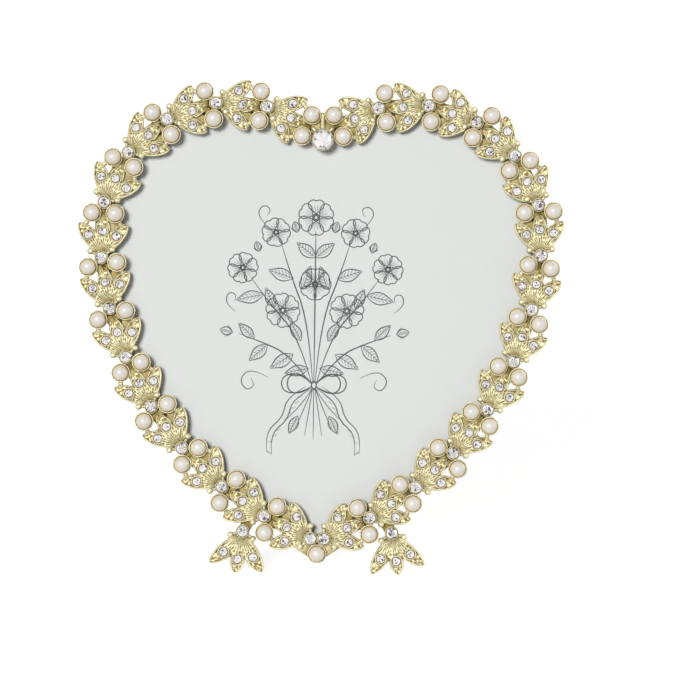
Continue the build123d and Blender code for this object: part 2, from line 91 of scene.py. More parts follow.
def mergedCopy(nodeName):
    bm = bmesh.new()
    bm.from_mesh(nodes[nodeName].data)
    bmesh.ops.remove_doubles(bm, verts=bm.verts[:], dist=cadWeld)
    return bm


def meshFrom(name, bm):
    mesh = bpy.data.meshes.new(name)
    bm.to_mesh(mesh)
    bm.free()
    return mesh


def addCopy(bm, mesh, place=unmoved):
    # nothing is deleted before the last copy is in, so the copy's vertices are the last ones
    start = len(bm.verts)
    bm.from_mesh(mesh)
    bm.verts.ensure_lookup_table()
    bmesh.ops.transform(bm, matrix=place, verts=bm.verts[start:])


def smoothFaces(bm):
    for face in bm.faces:
        face.smooth = True


def roundEdges(bm, edges, width, segments):
    bmesh.ops.bevel(bm, geom=edges, offset=width, offset_type="OFFSET", segments=segments, profile=0.5,
                    affect="EDGES", clamp_overlap=True, material=-1)


def spinRound(bm, line, edges, steps):
    bmesh.ops.spin(bm, geom=line + edges, cent=(0, 0, 0), axis=(0, 0, 1), dvec=(0, 0, 0),
                   angle=2 * math.pi, steps=steps, use_merge=True)
    bmesh.ops.remove_doubles(bm, verts=bm.verts[:], dist=castWeld)
    bmesh.ops.recalc_face_normals(bm, faces=bm.faces[:])


def putPiece(name, bm, material, body="frame", instead=(), sharpAngle=None):
    mesh = meshFrom(name, bm)
    packedNormals = mesh.attributes.get("custom_normal")
    if packedNormals:
        mesh.attributes.remove(packedNormals)
    if sharpAngle is not None:
        mesh.set_sharp_from_angle(angle=math.radians(sharpAngle))
    mesh.materials.append(material)
    piece = bpy.data.objects.new(name, mesh)
    scene.collection.objects.link(piece)
    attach(piece, body)
    if instead:
        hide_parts(*instead)
    return piece


# materials
def startMaterial(name):
    material = bpy.data.materials.new(name)
    material.use_nodes = True
    tree = material.node_tree
    return material, tree, tree.nodes["Principled BSDF"]


def addNode(tree, kind, **settings):
    node = tree.nodes.new(kind)
    for key, value in settings.items():
        setattr(node, key, value)
    return node


def plug(tree, socket, value):
    # a colour or a number is set on the socket, and anything else is a link
    if isinstance(value, tuple):
        socket.default_value = (*value, 1.0)
    elif isinstance(value, (int, float)):
        socket.default_value = value
    else:
        tree.links.new(value, socket)


def wire(tree, node, values):
    for name, value in values.items():
        plug(tree, node.inputs[name], value)


def objectNoise(tree, scale, detail, rough=0.5, coords=None):
    texture = addNode(tree, "ShaderNodeTexNoise")
    if coords is None:
        coords = addNode(tree, "ShaderNodeTexCoord").outputs["Object"]
    wire(tree, texture, {"Vector": coords, "Scale": scale, "Detail": detail, "Roughness": rough})
    return texture.outputs["Fac"]


def mathNode(tree, operation, a, b, clamp=False):
    node = addNode(tree, "ShaderNodeMath", operation=operation, use_clamp=clamp)
    plug(tree, node.inputs[0], a)
    plug(tree, node.inputs[1], b)
    return node.outputs[0]


def mixColour(tree, share, a, b):
    # the Mix node's colour sockets are 6 and 7 in, and 2 out
    node = addNode(tree, "ShaderNodeMix", data_type="RGBA")
    for index, value in ((0, share), (6, a), (7, b)):
        plug(tree, node.inputs[index], value)
    return node.outputs[2]


def rangeNode(tree, value, low, high):
    node = addNode(tree, "ShaderNodeMapRange")
    wire(tree, node, {"Value": value, "To Min": low, "To Max": high})
    return node.outputs["Result"]


def bumpFrom(tree, height, strength, distance):
    node = addNode(tree, "ShaderNodeBump")
    wire(tree, node, {"Height": height, "Strength": strength, "Distance": distance})
    return node.outputs["Normal"]


def attributeNode(tree, name):
    return addNode(tree, "ShaderNodeAttribute", attribute_name=name)


def repaint(nodeName, material):
    slots = nodes[nodeName].data.materials
    slots.clear()
    slots.append(material)


# plated metal; each noise here and below is its scale, detail and roughness, each bump its strength
# and its height in metres
platingLook = {
    "broad": (420.0, 2.0),
    "fine": (2600.0, 3.0, 0.6),
    "spread": 0.55,
    "speck": 1.0,
    "lines": (1.0, 2.0),
    "lineStretch": (0.25, 4.5, 1.0),
    "lineDepth": 1.6,
    "plain": 0.7,
    # recess maps the rim's facing to its painted shade, darkest where it faces out
    "recess": (0.85, 0.0),
    "bump": (0.6, 0.00009),
}
# proud is the lit colour and low the colour of painted shade
goldFinish = {"proud": (0.63, 0.59, 0.40), "low": (0.16, 0.115, 0.026), "smooth": 0.38, "matt": 0.70}
rimFinish = {"proud": (0.60, 0.54, 0.35), "low": (0.20, 0.14, 0.035), "smooth": 0.45, "matt": 0.7}
hingeFinish = {"proud": (0.70, 0.57, 0.30), "low": (0.40, 0.29, 0.11), "smooth": 0.30, "matt": 0.50}
screwFinish = {"proud": (0.70, 0.65, 0.52), "low": (0.35, 0.30, 0.20), "smooth": 0.20, "matt": 0.36}


def addSockets(group, way, kinds):
    for name, kind in kinds.items():
        group.interface.new_socket(name, in_out=way, socket_type="NodeSocket" + kind)


def platingGroup():
    # pale on what stands proud and darker in what lies low, as painted light and shade, with a fine cast
    # grain
    group = bpy.data.node_groups.new("platedMetal", "ShaderNodeTree")
    addSockets(group, "INPUT", {"Shaded Relief": "Float", "Proud Colour": "Color", "Low Colour": "Color",
                                "Smooth": "Float", "Matt": "Float"})
    addSockets(group, "OUTPUT", {"Colour": "Color", "Roughness": "Float", "Height": "Float"})
    given = addNode(group, "NodeGroupInput").outputs
    broad = objectNoise(group, *platingLook["broad"])
    fine = objectNoise(group, *platingLook["fine"])
    spread = mathNode(group, "MULTIPLY", mathNode(group, "SUBTRACT", broad, 0.5), platingLook["spread"])
    speck = mathNode(group, "MULTIPLY", mathNode(group, "SUBTRACT", fine, 0.5), platingLook["speck"])
    tone = mathNode(group, "ADD", given["Shaded Relief"], spread)
    tone = mathNode(group, "ADD", tone, speck, clamp=True)
    wire(group, addNode(group, "NodeGroupOutput"), {
        "Colour": mixColour(group, tone, given["Low Colour"], given["Proud Colour"]),
        "Roughness": rangeNode(group, fine, given["Smooth"], given["Matt"]),
        "Height": fine,
    })
    return group


platedMetal = platingGroup()


def drawnLines(tree):
    # fine lines along the length of a leaf
    stretch = addNode(tree, "ShaderNodeMapping")
    stretch.inputs["Scale"].default_value = platingLook["lineStretch"]
    wire(tree, stretch, {"Vector": attributeNode(tree, "grain").outputs["Vector"]})
    lines = objectNoise(tree, *platingLook["lines"], coords=stretch.outputs["Vector"])
    return mathNode(tree, "MULTIPLY", lines, platingLook["lineDepth"])


def facingOut(tree):
    facing = addNode(tree, "ShaderNodeVectorMath", operation="DOT_PRODUCT")
    facing.inputs[1].default_value = faceOut
    tree.links.new(addNode(tree, "ShaderNodeNewGeometry").outputs["Normal"], facing.inputs[0])
    return facing.outputs["Value"]


def platedMaterial(name, finish, fromShadedRelief=False, shadedFront=False):
    material, tree, shader = startMaterial(name)
    plating = addNode(tree, "ShaderNodeGroup", node_tree=platedMetal)
    height = plating.outputs["Height"]
    shadedRelief = platingLook["plain"]
    # the castings' painted shade and light come in through their shaded relief
    if fromShadedRelief:
        shadedRelief = attributeNode(tree, "shadedRelief").outputs["Fac"]
        height = mathNode(tree, "ADD", drawnLines(tree), height)
    elif shadedFront:
        # painted shade: the face that shows between the sprigs is painted dark, as shade in a recess
        shadedRelief = rangeNode(tree, facingOut(tree), *platingLook["recess"])
    wire(tree, plating, {
        "Shaded Relief": shadedRelief,
        "Proud Colour": finish["proud"],
        "Low Colour": finish["low"],
        "Smooth": finish["smooth"],
        "Matt": finish["matt"],
    })
    wire(tree, shader, {
        "Base Color": plating.outputs["Colour"],
        "Roughness": plating.outputs["Roughness"],
        "Normal": bumpFrom(tree, height, *platingLook["bump"]),
        "Metallic": 1.0,
    })
    return material


castGold = platedMaterial("castGold", goldFinish, fromShadedRelief=True)
rimGold = platedMaterial("rimGold", rimFinish, shadedFront=True)
hingeBrass = platedMaterial("hingeBrass", hingeFinish)
screwMetal = platedMaterial("screwMetal", screwFinish)

pearlFinish = {
    "body": (0.72, 0.71, 0.67),
    "blush": (0.74, 0.70, 0.67),
    # the girdle colour is partly a warmer nacre and partly a painted reflection of the gold cup
    "girdle": (0.87, 0.735, 0.50),
    "glow": (1.0, 0.86, 0.62),
    "cloud": (260.0, 1.0),
    "grain": (900.0, 2.0),
    "roughness": (0.40, 0.47),
}


def pearlMaterial():
    look = pearlFinish
    material, tree, shader = startMaterial("pearlLustre")
    nacre = mixColour(tree, objectNoise(tree, *look["cloud"]), look["body"], look["blush"])
    girdle = attributeNode(tree, "girdle").outputs["Fac"]
    wire(tree, shader, {
        "Base Color": mixColour(tree, girdle, nacre, look["girdle"]),
        "Roughness": rangeNode(tree, objectNoise(tree, *look["grain"]), *look["roughness"]),
        "IOR": 1.65,
        "Sheen Weight": 0.3,
        "Sheen Roughness": 0.55,
        "Sheen Tint": look["glow"],
        "Coat Weight": 0.3,
        "Coat Roughness": 0.24,
        "Coat IOR": 1.5,
    })
    return material


crystalFinish = {
    "dull": (0.0, (0.03, 0.03, 0.03)),
    "dim": (0.30, (0.20, 0.19, 0.19)),
    "clear": (0.60, (0.60, 0.58, 0.57)),
    "bright": (1.0, (0.98, 0.96, 0.96)),
    "pink": (0.93, 0.80, 0.84),
    "pinkShare": (0.0, 0.16),
    "cloud": (300.0, 1.0),
    "grain": (2500.0, 1.0),
    "roughness": (0.03, 0.10),
}


def crystalMaterial():
    # foil backed stone: each facet is painted with its own share of light, as a painted reflection, bright
    # or dark
    look = crystalFinish
    material, tree, shader = startMaterial("crystalFacets")
    ramp = addNode(tree, "ShaderNodeValToRGB")
    stops = ramp.color_ramp.elements
    for index, name in enumerate(("dull", "dim", "clear", "bright")):
        place, colour = look[name]
        stop = stops[index] if index < len(stops) else stops.new(place)
        stop.position = place
        stop.color = (*colour, 1.0)
    wire(tree, ramp, {"Fac": attributeNode(tree, "facetReflection").outputs["Fac"]})
    pinkShare = rangeNode(tree, objectNoise(tree, *look["cloud"]), *look["pinkShare"])
    wire(tree, shader, {
        "Base Color": mixColour(tree, pinkShare, ramp.outputs["Color"], look["pink"]),
        "Roughness": rangeNode(tree, objectNoise(tree, *look["grain"]), *look["roughness"]),
        "Metallic": 0.35,
        "Coat Weight": 1.0,
        "Coat Roughness": 0.02,
        "IOR": 1.6,
    })
    return material


pearlLustre = pearlMaterial()
crystalFacets = crystalMaterial()
print("metal and stone finishes made")

# where each sprig stands, read from its stones: its crystal, then its pearls and leaf crystals
heartMiddle = 65.0  # up the face, to count round the ring
pearlsEach, leavesEach = 2, 3
castings = [node for name, node in nodes.items() if name.startswith(("sprig", "foot_"))]
ringPoints = [toFace(v.co) for node in castings for v in node.data.vertices]
ringLow = Vector(map(min, *ringPoints))
ringHigh = Vector(map(max, *ringPoints))
ringMiddle = (ringLow + ringHigh) / 2
print("ring spans", [round(c, 2) for c in ringLow], [round(c, 2) for c in ringHigh])


def stonesOf(nodeName):
    # middle and width of each loose stone in a node, in the face
    bm = mergedCopy(nodeName)
    left = set(bm.verts)
    found = []
    while left:
        trail = [left.pop()]
        points = []
        while trail:
            vert = trail.pop()
            points.append(toFace(vert.co))
            for edge in vert.link_edges:
                other = edge.other_vert(vert)
                if other in left:
                    left.remove(other)
                    trail.append(other)
        low = Vector(map(min, *points))
        high = Vector(map(max, *points))
        found.append(((low + high) / 2, high.x - low.x))
    bm.free()
    return found


def aroundHeart(point):
    return math.atan2(abs(point.x), point.y - heartMiddle)


def spotsOf(nodeName):
    return sorted((spot for spot, _ in stonesOf(nodeName)), key=aroundHeart)


def readSprigs(hand):
    pearls = spotsOf("pearls_" + hand)
    leaves = spotsOf("leaf_crystals_" + hand)
    found = []
    for index, joint in enumerate(spotsOf("joint_crystals_" + hand)):
        pair = pearls[pearlsEach * index:pearlsEach * (index + 1)]
        heading = (pair[0] + pair[1]) / 2 - joint
        found.append({
            "joint": joint,
            "turn": math.atan2(heading.y, heading.x),
            "reach": heading.xy.length,
            "across": (pair[0] - pair[1]).xy.length / 2,
            "pearls": pair,
            "stones": leaves[leavesEach * index:leavesEach * (index + 1)],
        })
    return found


def readFeet():
    # the widest stone of a foot is its joint crystal
    stones = stonesOf("foot_crystals")
    found = {}
    for hand, side in zip(hands, (-1, 1)):
        own = sorted((s for s in stones if s[0].x * side > 0), key=lambda s: -s[1])
        joint, *leaves = (spot for spot, _ in own)
        heading = sum(leaves, Vector()) / leavesEach - joint
        found[hand] = {"joint": joint, "turn": math.atan2(heading.y, heading.x), "stones": leaves}
    return found


sprigs = {hand: readSprigs(hand) for hand in hands}
feet = readFeet()
print("sprigs read:", {hand: len(row) for hand, row in sprigs.items()})

# what all castings share: the shaded relief at the foot of a bar or a plate, darker there as painted shade,
# rounded edges, the angle of a crease
castLook = {"barFootShade": -0.3, "plateFootShade": 0.0, "segments": 3, "crease": 50}


def startCasting():
    bm = bmesh.new()
    bm.verts.layers.float.new("shadedRelief")
    bm.verts.layers.float_vector.new("grain")
    return bm


def putCasting(name, bm, nodeName):
    return putPiece(name, bm, castGold, instead=[nodeName], sharpAngle=castLook["crease"])


# the leaf: fused to its neighbours at the root, with a rolled edge and a stippled bed further out
leafLook = {
    "length": 10.0,
    "halfWidth": 1.98,
    "fullness": 0.62,
    "flare": (0.86, 0.28),  # share of the width at the root, and what it gains by the tip
    "crowding": 1.35,  # draws the faces out to the edges
    "rows": 46,
    "columns": 38,
    "root": 0.6,
    "flick": 1.1,
    "crest": 0.98,
    "swell": 0.42,
    "swellShape": 0.6,
    "sink": 0.40,
    "roll": (0.252, 0.70),  # from the edge inwards
    "roundOver": (0.30, 0.24),  # depth and width, as for the seam
    "seam": (0.34, 0.75),
    "parting": (0.54, 0.70),  # share of the length where a side comes free of its neighbour
    "outerParting": (0.08, 0.26),
    "ribStep": 8.75,
    "ribHeight": 0.075,
    "ribRoot": 0.2,
    "ribFrom": (0.5, 1.6),
    "ribTo": (0.50, 0.68),  # share of the length, as for the grain and the stones
    "grain": 2.0,
    "fineGrain": 4.2,
    "fineShare": 0.4,
    "grainFrom": (0.18, 0.5),
    "stipple": 0.15,
    "stoneAt": 0.6,
    "footStoneAt": 0.652,
    "middleLift": 0.10,
    "middleReach": 0.5,  # a stone nearer than this to the axis is the middle leaf's
}
# its shaded relief, from 0 for low to 1 for proud: painted shade in hollows and creases and down the skirt,
# painted light on crests, partly an antique tone in the hollows
leafPaintedShade = {
    "top": 1.05,
    "bed": 0.42,
    "outerBed": 0.24,
    "outerFrom": (0.35, 0.6),
    "ribs": 0.48,
    "grit": 1.60,
    "lip": (0.30, 0.12),
    "seam": (0.45, 0.4),
    "root": 0.16,
    "rootTo": (0.05, 0.3),
    "stone": 0.1,
    "stoneShadowEdge": (1.04, 1.29),
    "skirt": 0.4,
}


def leafMesh(name, lean, stoneAt):
    # lean is -1 or 1 for a leaf beside the middle one, and 0 for the middle leaf itself
    look, shade = leafLook, leafPaintedShade
    bm = startCasting()
    bmesh.ops.create_grid(bm, x_segments=look["rows"], y_segments=look["columns"], size=1)
    shadedRelief = bm.verts.layers.float.get("shadedRelief")
    grain = bm.verts.layers.float_vector.get("grain")
    for vert in bm.verts:
        u = (vert.co.x + 1) / 2
        side = math.copysign(1 - (1 - abs(vert.co.y)) ** look["crowding"], vert.co.y)
        half = look["halfWidth"] * max(0.0, 4 * u * (1 - u)) ** look["fullness"]
        half *= look["flare"][0] + look["flare"][1] * u
        x, y = look["length"] * u, half * side
        inside = half * (1 - abs(side))
        joined = lean == 0 or side * lean < 0
        free = rise(u, *look["parting" if joined else "outerParting"])
        bed = 1 - free * (1 - rise(inside, *look["roll"]))
        turn = math.degrees(math.atan2(y, max(x, look["ribRoot"])))
        ribs = bed * math.cos(2 * math.pi * turn / look["ribStep"])
        ribs *= rise(x, *look["ribFrom"]) * (1 - rise(u, *look["ribTo"]))
        grit = noise.noise(Vector((x, y, 3 * lean + 0.5)) * look["grain"])
        grit += look["fineShare"] * noise.noise(Vector((x, y, lean)) * look["fineGrain"])
        grit *= bed * rise(u, *look["grainFrom"])
        height = look["crest"] + look["swell"] * max(0.0, math.sin(math.pi * u)) ** look["swellShape"]
        height -= look["sink"] * bed
        height -= free * fall(inside, *look["roundOver"]) + (1 - free) * fall(inside, *look["seam"])
        height += look["ribHeight"] * ribs + look["stipple"] * grit
        y += look["flick"] * lean * u * (u - stoneAt)
        vert.co = (x, y, height)
        # painted shade and light: darker in the bed, pits and furrows, at the lip, the seam and the root,
        # lighter on the crests
        tone = shade["top"] - (shade["bed"] + shade["outerBed"] * rise(u, *shade["outerFrom"])) * bed
        tone += shade["ribs"] * ribs + shade["grit"] * grit
        tone -= free * fall(inside, *shade["lip"]) + (1 - free) * fall(inside, *shade["seam"])
        tone -= shade["root"] * (1 - rise(u, *shade["rootTo"]))
        # painted shadow: the leaf darkens round its stone, as in the gap by the collar
        nearStone = math.hypot(x - look["length"] * stoneAt, y)
        tone *= shade["stone"] + (1 - shade["stone"]) * rise(nearStone, *shade["stoneShadowEdge"])
        vert[shadedRelief] = max(0.0, tone)
        vert[grain] = (x, side * look["halfWidth"], 0)
    bmesh.ops.remove_doubles(bm, verts=bm.verts[:], dist=castWeld)
    border = [e for e in bm.edges if e.is_boundary]
    skirt = bmesh.ops.extrude_edge_only(bm, edges=border)["geom"]
    for vert in (g for g in skirt if isinstance(g, bmesh.types.BMVert)):
        vert.co.z = 0
        # the skirt is painted darker, as shade at the foot
        vert[shadedRelief] = shade["skirt"]
    lowerEdges = [g for g in skirt if isinstance(g, bmesh.types.BMEdge) and g.is_boundary]
    bmesh.ops.contextual_create(bm, geom=lowerEdges)
    bmesh.ops.recalc_face_normals(bm, faces=bm.faces[:])
    smoothFaces(bm)
    return meshFrom(name, bm)


fanLeaves = {}
for lean, name in ((-1, "lowerLeaf"), (0, "middleLeaf"), (1, "upperLeaf")):
    fanLeaves[lean] = leafMesh(name, lean, leafLook["stoneAt"]), leafLook["stoneAt"]
footLeaves = dict(fanLeaves)
footLeaves[0] = leafMesh("footLeaf", 0, leafLook["footStoneAt"]), leafLook["footStoneAt"]

# rolled cup that holds a pearl; each point of a profile is its radius, height and shaded relief, low as
# painted shade in grooves and under the stone or pearl
cupLook = {"steps": 40, "profile": (
    (0.0, 0.0, 0.4), (2.20, 0.0, 0.4), (2.34, 0.14, 0.35), (2.28, 0.8, 0.45), (2.30, 1.15, 0.6),
    (2.39, 1.34, 0.85), (2.45, 1.50, 0.7), (2.44, 1.68, 0.8), (2.37, 1.79, 0.85), (2.27, 1.82, 0.85),
    (2.17, 1.78, 0.7), (2.09, 1.70, 0.6), (1.98, 1.64, 0.45), (1.86, 1.45, 0.2), (1.55, 0.85, 0.0),
    (0.7, 0.31, 0.0), (0.0, 0.29, 0.0))}
# upright seat of the joint crystal
seatLook = {"steps": 32, "profile": (
    (0.0, 0.0, 0.4), (1.66, 0.0, 0.4), (1.78, 0.2, 0.25), (1.74, 0.9, 0.3), (1.78, 1.30, 0.5),
    (1.80, 1.50, 0.8), (1.76, 1.66, 0.7), (1.66, 1.74, 0.7), (1.57, 1.74, 0.4), (1.54, 1.66, 0.15),
    (1.53, 1.56, 0.0), (0.25, 0.33, 0.0), (0.0, 0.33, 0.0))}
# small collar round a leaf crystal, painted dark on its inner wall as shade in the gap round the stone
collarLook = {"steps": 28, "profile": (
    (1.20, 0.5, 0.0), (1.20, 1.18, 0.0), (1.23, 1.30, 0.3), (1.30, 1.35, 0.75), (1.40, 1.33, 0.85),
    (1.49, 1.22, 0.7), (1.55, 1.05, 0.5), (1.57, 0.5, 0.3), (1.20, 0.5, 0.0))}
# setting of the large crystal under the cleft
cleftLook = {"steps": 48, "profile": (
    (0.0, 0.0, 0.1), (2.68, 0.0, 0.1), (2.78, 0.25, 0.3), (2.70, 1.2, 0.45), (2.74, 2.2, 0.7),
    (2.84, 2.48, 0.95), (2.84, 2.66, 1.05), (2.76, 2.76, 1.0), (2.70, 2.74, 0.6), (2.69, 2.60, 0.1),
    (2.67, 2.52, 0.0), (0.3, 0.33, 0.0), (0.0, 0.33, 0.0))}


def turnedMesh(name, look):
    bm = startCasting()
    shadedRelief = bm.verts.layers.float.get("shadedRelief")
    line = []
    for radius, height, tone in look["profile"]:
        vert = bm.verts.new((radius, 0, height))
        vert[shadedRelief] = tone
        line.append(vert)
    edges = [bm.edges.new(pair) for pair in zip(line, line[1:])]
    spinRound(bm, line, edges, look["steps"])
    smoothFaces(bm)
    return meshFrom(name, bm)


pearlCup = turnedMesh("pearlCup", cupLook)
crystalSeat = turnedMesh("crystalSeat", seatLook)
leafCollar = turnedMesh("leafCollar", collarLook)
cleftSeat = turnedMesh("cleftSeat", cleftLook)


# painted shade and light: darker towards the foot, lighter towards the top
def heightShadedMesh(name, bm, low, high, top):
    shadedRelief = bm.verts.layers.float.get("shadedRelief")
    for vert in bm.verts:
        vert[shadedRelief] = low + (high - low) * rise(vert.co.z, 0.0, top)
    smoothFaces(bm)
    return meshFrom(name, bm)


def barMesh(name, low, high, width, height, edge, tone):
    # a bar along X, from low to high
    bm = startCasting()
    size = Matrix.Diagonal((high - low, width, height, 1))
    place = Matrix.Translation(((low + high) / 2, 0, height / 2)) @ size
    bmesh.ops.create_cube(bm, size=1, matrix=place)
    roundEdges(bm, bm.edges[:], edge, castLook["segments"])
    return heightShadedMesh(name, bm, castLook["barFootShade"], tone, height)


def plateMesh(name, corners, height, edge, tone):
    bm = startCasting()
    outline = bm.faces.new([bm.verts.new((x, y, 0)) for x, y in corners])
    raised = bmesh.ops.extrude_face_region(bm, geom=[outline])["geom"]
    top = [g for g in raised if isinstance(g, bmesh.types.BMVert)]
    bmesh.ops.translate(bm, verts=top, vec=(0, 0, height))
    bmesh.ops.recalc_face_normals(bm, faces=bm.faces[:])
    roundEdges(bm, bm.edges[:], edge, castLook["segments"])
    return heightShadedMesh(name, bm, castLook["plateFootShade"], tone, height)


# ball stud on its stem, painted lighter on top and darker below as painted light and shade
studLook = {
    "radius": 0.82,
    "lift": 1.0,
    "shade": (0.1, 0.95),
    "litFrom": 0.5,
    "bearing": 63.0,
    "cup": 2.53,
    "gap": 0.12,
    "stem": {"low": 1.296, "high": 3.3, "width": 0.8, "height": 0.95, "edge": 0.2, "tone": 0.4},
}
studReach = studLook["stem"]["high"]


def ballMesh(name):
    bm = startCasting()
    place = Matrix.Translation((studReach, 0, studLook["lift"]))
    bmesh.ops.create_icosphere(bm, subdivisions=3, radius=studLook["radius"], matrix=place)
    return heightShadedMesh(name, bm, *studLook["shade"], studLook["lift"] + studLook["litFrom"])


studBall = ballMesh("studBall")
studStem = barMesh("studStem", **studLook["stem"])


def addStud(bm, bearing):
    turn = Matrix.Rotation(bearing, 4, "Z")
    addCopy(bm, studBall, turn)
    addCopy(bm, studStem, turn)


def homeMatrix(sprig):
    # from the face to the sprig's own place, with its crystal at the origin and its leaves along X
    return Matrix.Rotation(-sprig["turn"], 4, "Z") @ Matrix.Translation(-sprig["joint"])


def leafSpots(sprig):
    home = homeMatrix(sprig)
    return [(home @ stone).xy for stone in sprig["stones"]]


def setInFace(bm, sprig):
    joint = sprig["joint"]
    bmesh.ops.transform(bm, matrix=faceMatrix(joint.x, joint.y, 0, sprig["turn"]), verts=bm.verts[:])


def addFan(bm, sprig, leaves):
    # three leaves from the crystal, each through its own stone, with the middle one on top
    leafHeight = leafLook["crest"] + leafLook["swell"]
    root = Vector((leafLook["root"], 0))
    for spot in sorted(leafSpots(sprig), key=lambda spot: abs(spot.y), reverse=True):
        way = spot - root
        lean = 0 if abs(spot.y) < leafLook["middleReach"] else int(math.copysign(1, spot.y))
        leaf, stoneAt = leaves[lean]
        longer = way.length / stoneAt / leafLook["length"]
        taller = 1 if lean else 1 + leafLook["middleLift"] / leafHeight
        place = Matrix.Translation((*root, 0)) @ Matrix.Rotation(math.atan2(way.y, way.x), 4, "Z")
        addCopy(bm, leaf, place @ Matrix.Diagonal((longer, 1, taller, 1)))
        addCopy(bm, leafCollar, Matrix.Translation((*spot, 0)))
    addCopy(bm, crystalSeat)


def studAngles(sprig, following):
    # the studs lean towards their own leaves where the next sprig's cups need the room
    home = homeMatrix(sprig)
    apart = studLook["cup"] + studLook["radius"] + studLook["gap"]
    angles = []
    for side in (-1, 1):
        best = math.radians(studLook["bearing"])
        for pearl in following["pearls"] if following else ():
            spot = (home @ pearl).xy
            if spot.y * side <= 0:
                continue
            far = spot.length
            reach = (studReach ** 2 + far ** 2 - apart ** 2) / (2 * studReach * far)
            best = min(best, math.atan2(side * spot.y, spot.x) - math.acos(min(1.0, reach)))
        angles.append(side * best)
    return angles


# a tie from each pearl cup to the leaf beside it, and a web across the gap on the inside of the ring,
# painted dark as shade in the gap
tieLook = {"width": 1.2, "height": 0.95, "edge": 0.35, "tone": 0.5}
tieShare = 0.84  # of the leaf's length
gapLook = {"height": 0.45, "edge": 0.15, "tone": 0.15}


def addTies(bm, sprig):
    inward = (homeMatrix(sprig) @ Vector((0, heartMiddle, 0))).y
    root = Vector((leafLook["root"], 0))
    spots = sorted(leafSpots(sprig), key=lambda spot: spot.y)
    for spot, side in ((spots[0], -1), (spots[2], 1)):
        cup = Vector((sprig["reach"], side * sprig["across"]))
        leafEnd = root + (spot - root) * (tieShare / leafLook["stoneAt"])
        way = leafEnd - cup
        place = Matrix.Translation((*cup, 0)) @ Matrix.Rotation(math.atan2(way.y, way.x), 4, "Z")
        addCopy(bm, barMesh("tie", 0, way.length, **tieLook), place)
        if side * inward > 0:
            addCopy(bm, plateMesh("web", (spots[1], spot, leafEnd, cup), **gapLook))


# bars that tie a casting together at the back, painted dark as shade in the recess behind the cups: they end
# short of the crystal that nestles between the cups
barLook = {"spine": 1.7, "recess": 2.7, "height": 0.9, "recessHeight": 0.81, "nestle": 4.17, "short": 1.8,
           "edge": 0.2, "tone": 0.05}


def addBars(bm, reach, across):
    end = reach + math.sqrt(max(0.0, barLook["nestle"] ** 2 - across ** 2)) - barLook["short"]
    spine, recess, height = barLook["spine"], barLook["recess"], barLook["height"]
    bars = (
        ("spine", 0, spine, height),
        ("recess", reach - recess, recess, barLook["recessHeight"]),
        ("bridge", end - spine, 2 * across, height),
    )
    for name, start, width, tall in bars:
        addCopy(bm, barMesh(name, start, end, width, tall, barLook["edge"], barLook["tone"]))


def buildSprig(hand, index):
    row = sprigs[hand]
    sprig = row[index]
    following = row[index + 1] if index + 1 < len(row) else None
    bm = startCasting()
    addFan(bm, sprig, fanLeaves)
    addBars(bm, sprig["reach"], sprig["across"])
    for y in (-sprig["across"], sprig["across"]):
        addCopy(bm, pearlCup, Matrix.Translation((sprig["reach"], y, 0)))
    addTies(bm, sprig)
    for angle in studAngles(sprig, following):
        addStud(bm, angle)
    setInFace(bm, sprig)
    return putCasting(f"casting{hand.capitalize()}{index + 1:02d}", bm, f"sprig_{hand}_{index + 1:02d}")


for hand in hands:
    for index in range(len(sprigs[hand])):
        buildSprig(hand, index)
print("sprigs cast")


def buildFoot(hand):
    # a fan and its studs, cut flat where it rests on the surface
    bm = startCasting()
    addFan(bm, feet[hand], footLeaves)
    for side in (-1, 1):
        addStud(bm, side * math.radians(studLook["bearing"]))
    setInFace(bm, feet[hand])
    everything = bm.verts[:] + bm.edges[:] + bm.faces[:]
    bmesh.ops.bisect_plane(bm, geom=everything, plane_co=(0, 0, 0), plane_no=(0, 0, -1),
                           clear_outer=True, dist=cutWeld)
    bmesh.ops.holes_fill(bm, edges=[e for e in bm.edges if e.is_boundary], sides=0)
    return putCasting(f"foot{hand.capitalize()}", bm, "foot_" + hand)


for hand in hands:
    buildFoot(hand)

# webs beside the settings: a ridge, an apron and two stems up into the cleft, each with its bearings in
# degrees, and a plate each side of the pearl at the point
webLook = {
    "ridge": ((90,), {"low": 2.2, "high": 7.0, "width": 1.5, "height": 1.2, "edge": 0.5, "tone": 0.45}),
    "apron": ((90,), {"low": 1.5, "high": 5.0, "width": 6.4, "height": 0.8, "edge": 0.3, "tone": 0.15}),
    "stem": ((50, 130), {"low": 2.3, "high": 4.3, "width": 1.2, "height": 1.15, "edge": 0.5, "tone": 0.6}),
}
pointLook = {"height": 0.8, "edge": 0.18, "tone": 0.34}
pointCorners = ((-6.1, 1.7), (-2.2, -0.9), (-1.4, 1.6), (-2.6, 3.4), (-4.6, 3.3))


def buildSetting(name, parts, nodeName, stoneNode):
    spot = spotsOf(stoneNode)[0]
    bm = startCasting()
    for mesh, degrees in parts:
        addCopy(bm, mesh, faceMatrix(spot.x, spot.y, 0, math.radians(degrees)))
    return putCasting(name, bm, nodeName)


cleftParts = [(cleftSeat, 0)]
for name, (bearings, look) in webLook.items():
    bar = barMesh(name, **look)
    cleftParts += [(bar, degrees) for degrees in bearings]
pointParts = [(pearlCup, 0)]
for side in (1, -1):
    corners = [(side * x, y) for x, y in pointCorners]
    pointParts.append((plateMesh("pointPlate", corners, **pointLook), 0))
buildSetting("cleftSetting", cleftParts, "cleft_setting", "cleft_crystal")
buildSetting("pointSetting", pointParts, "point_setting", "point_pearl")
print("feet and settings cast")

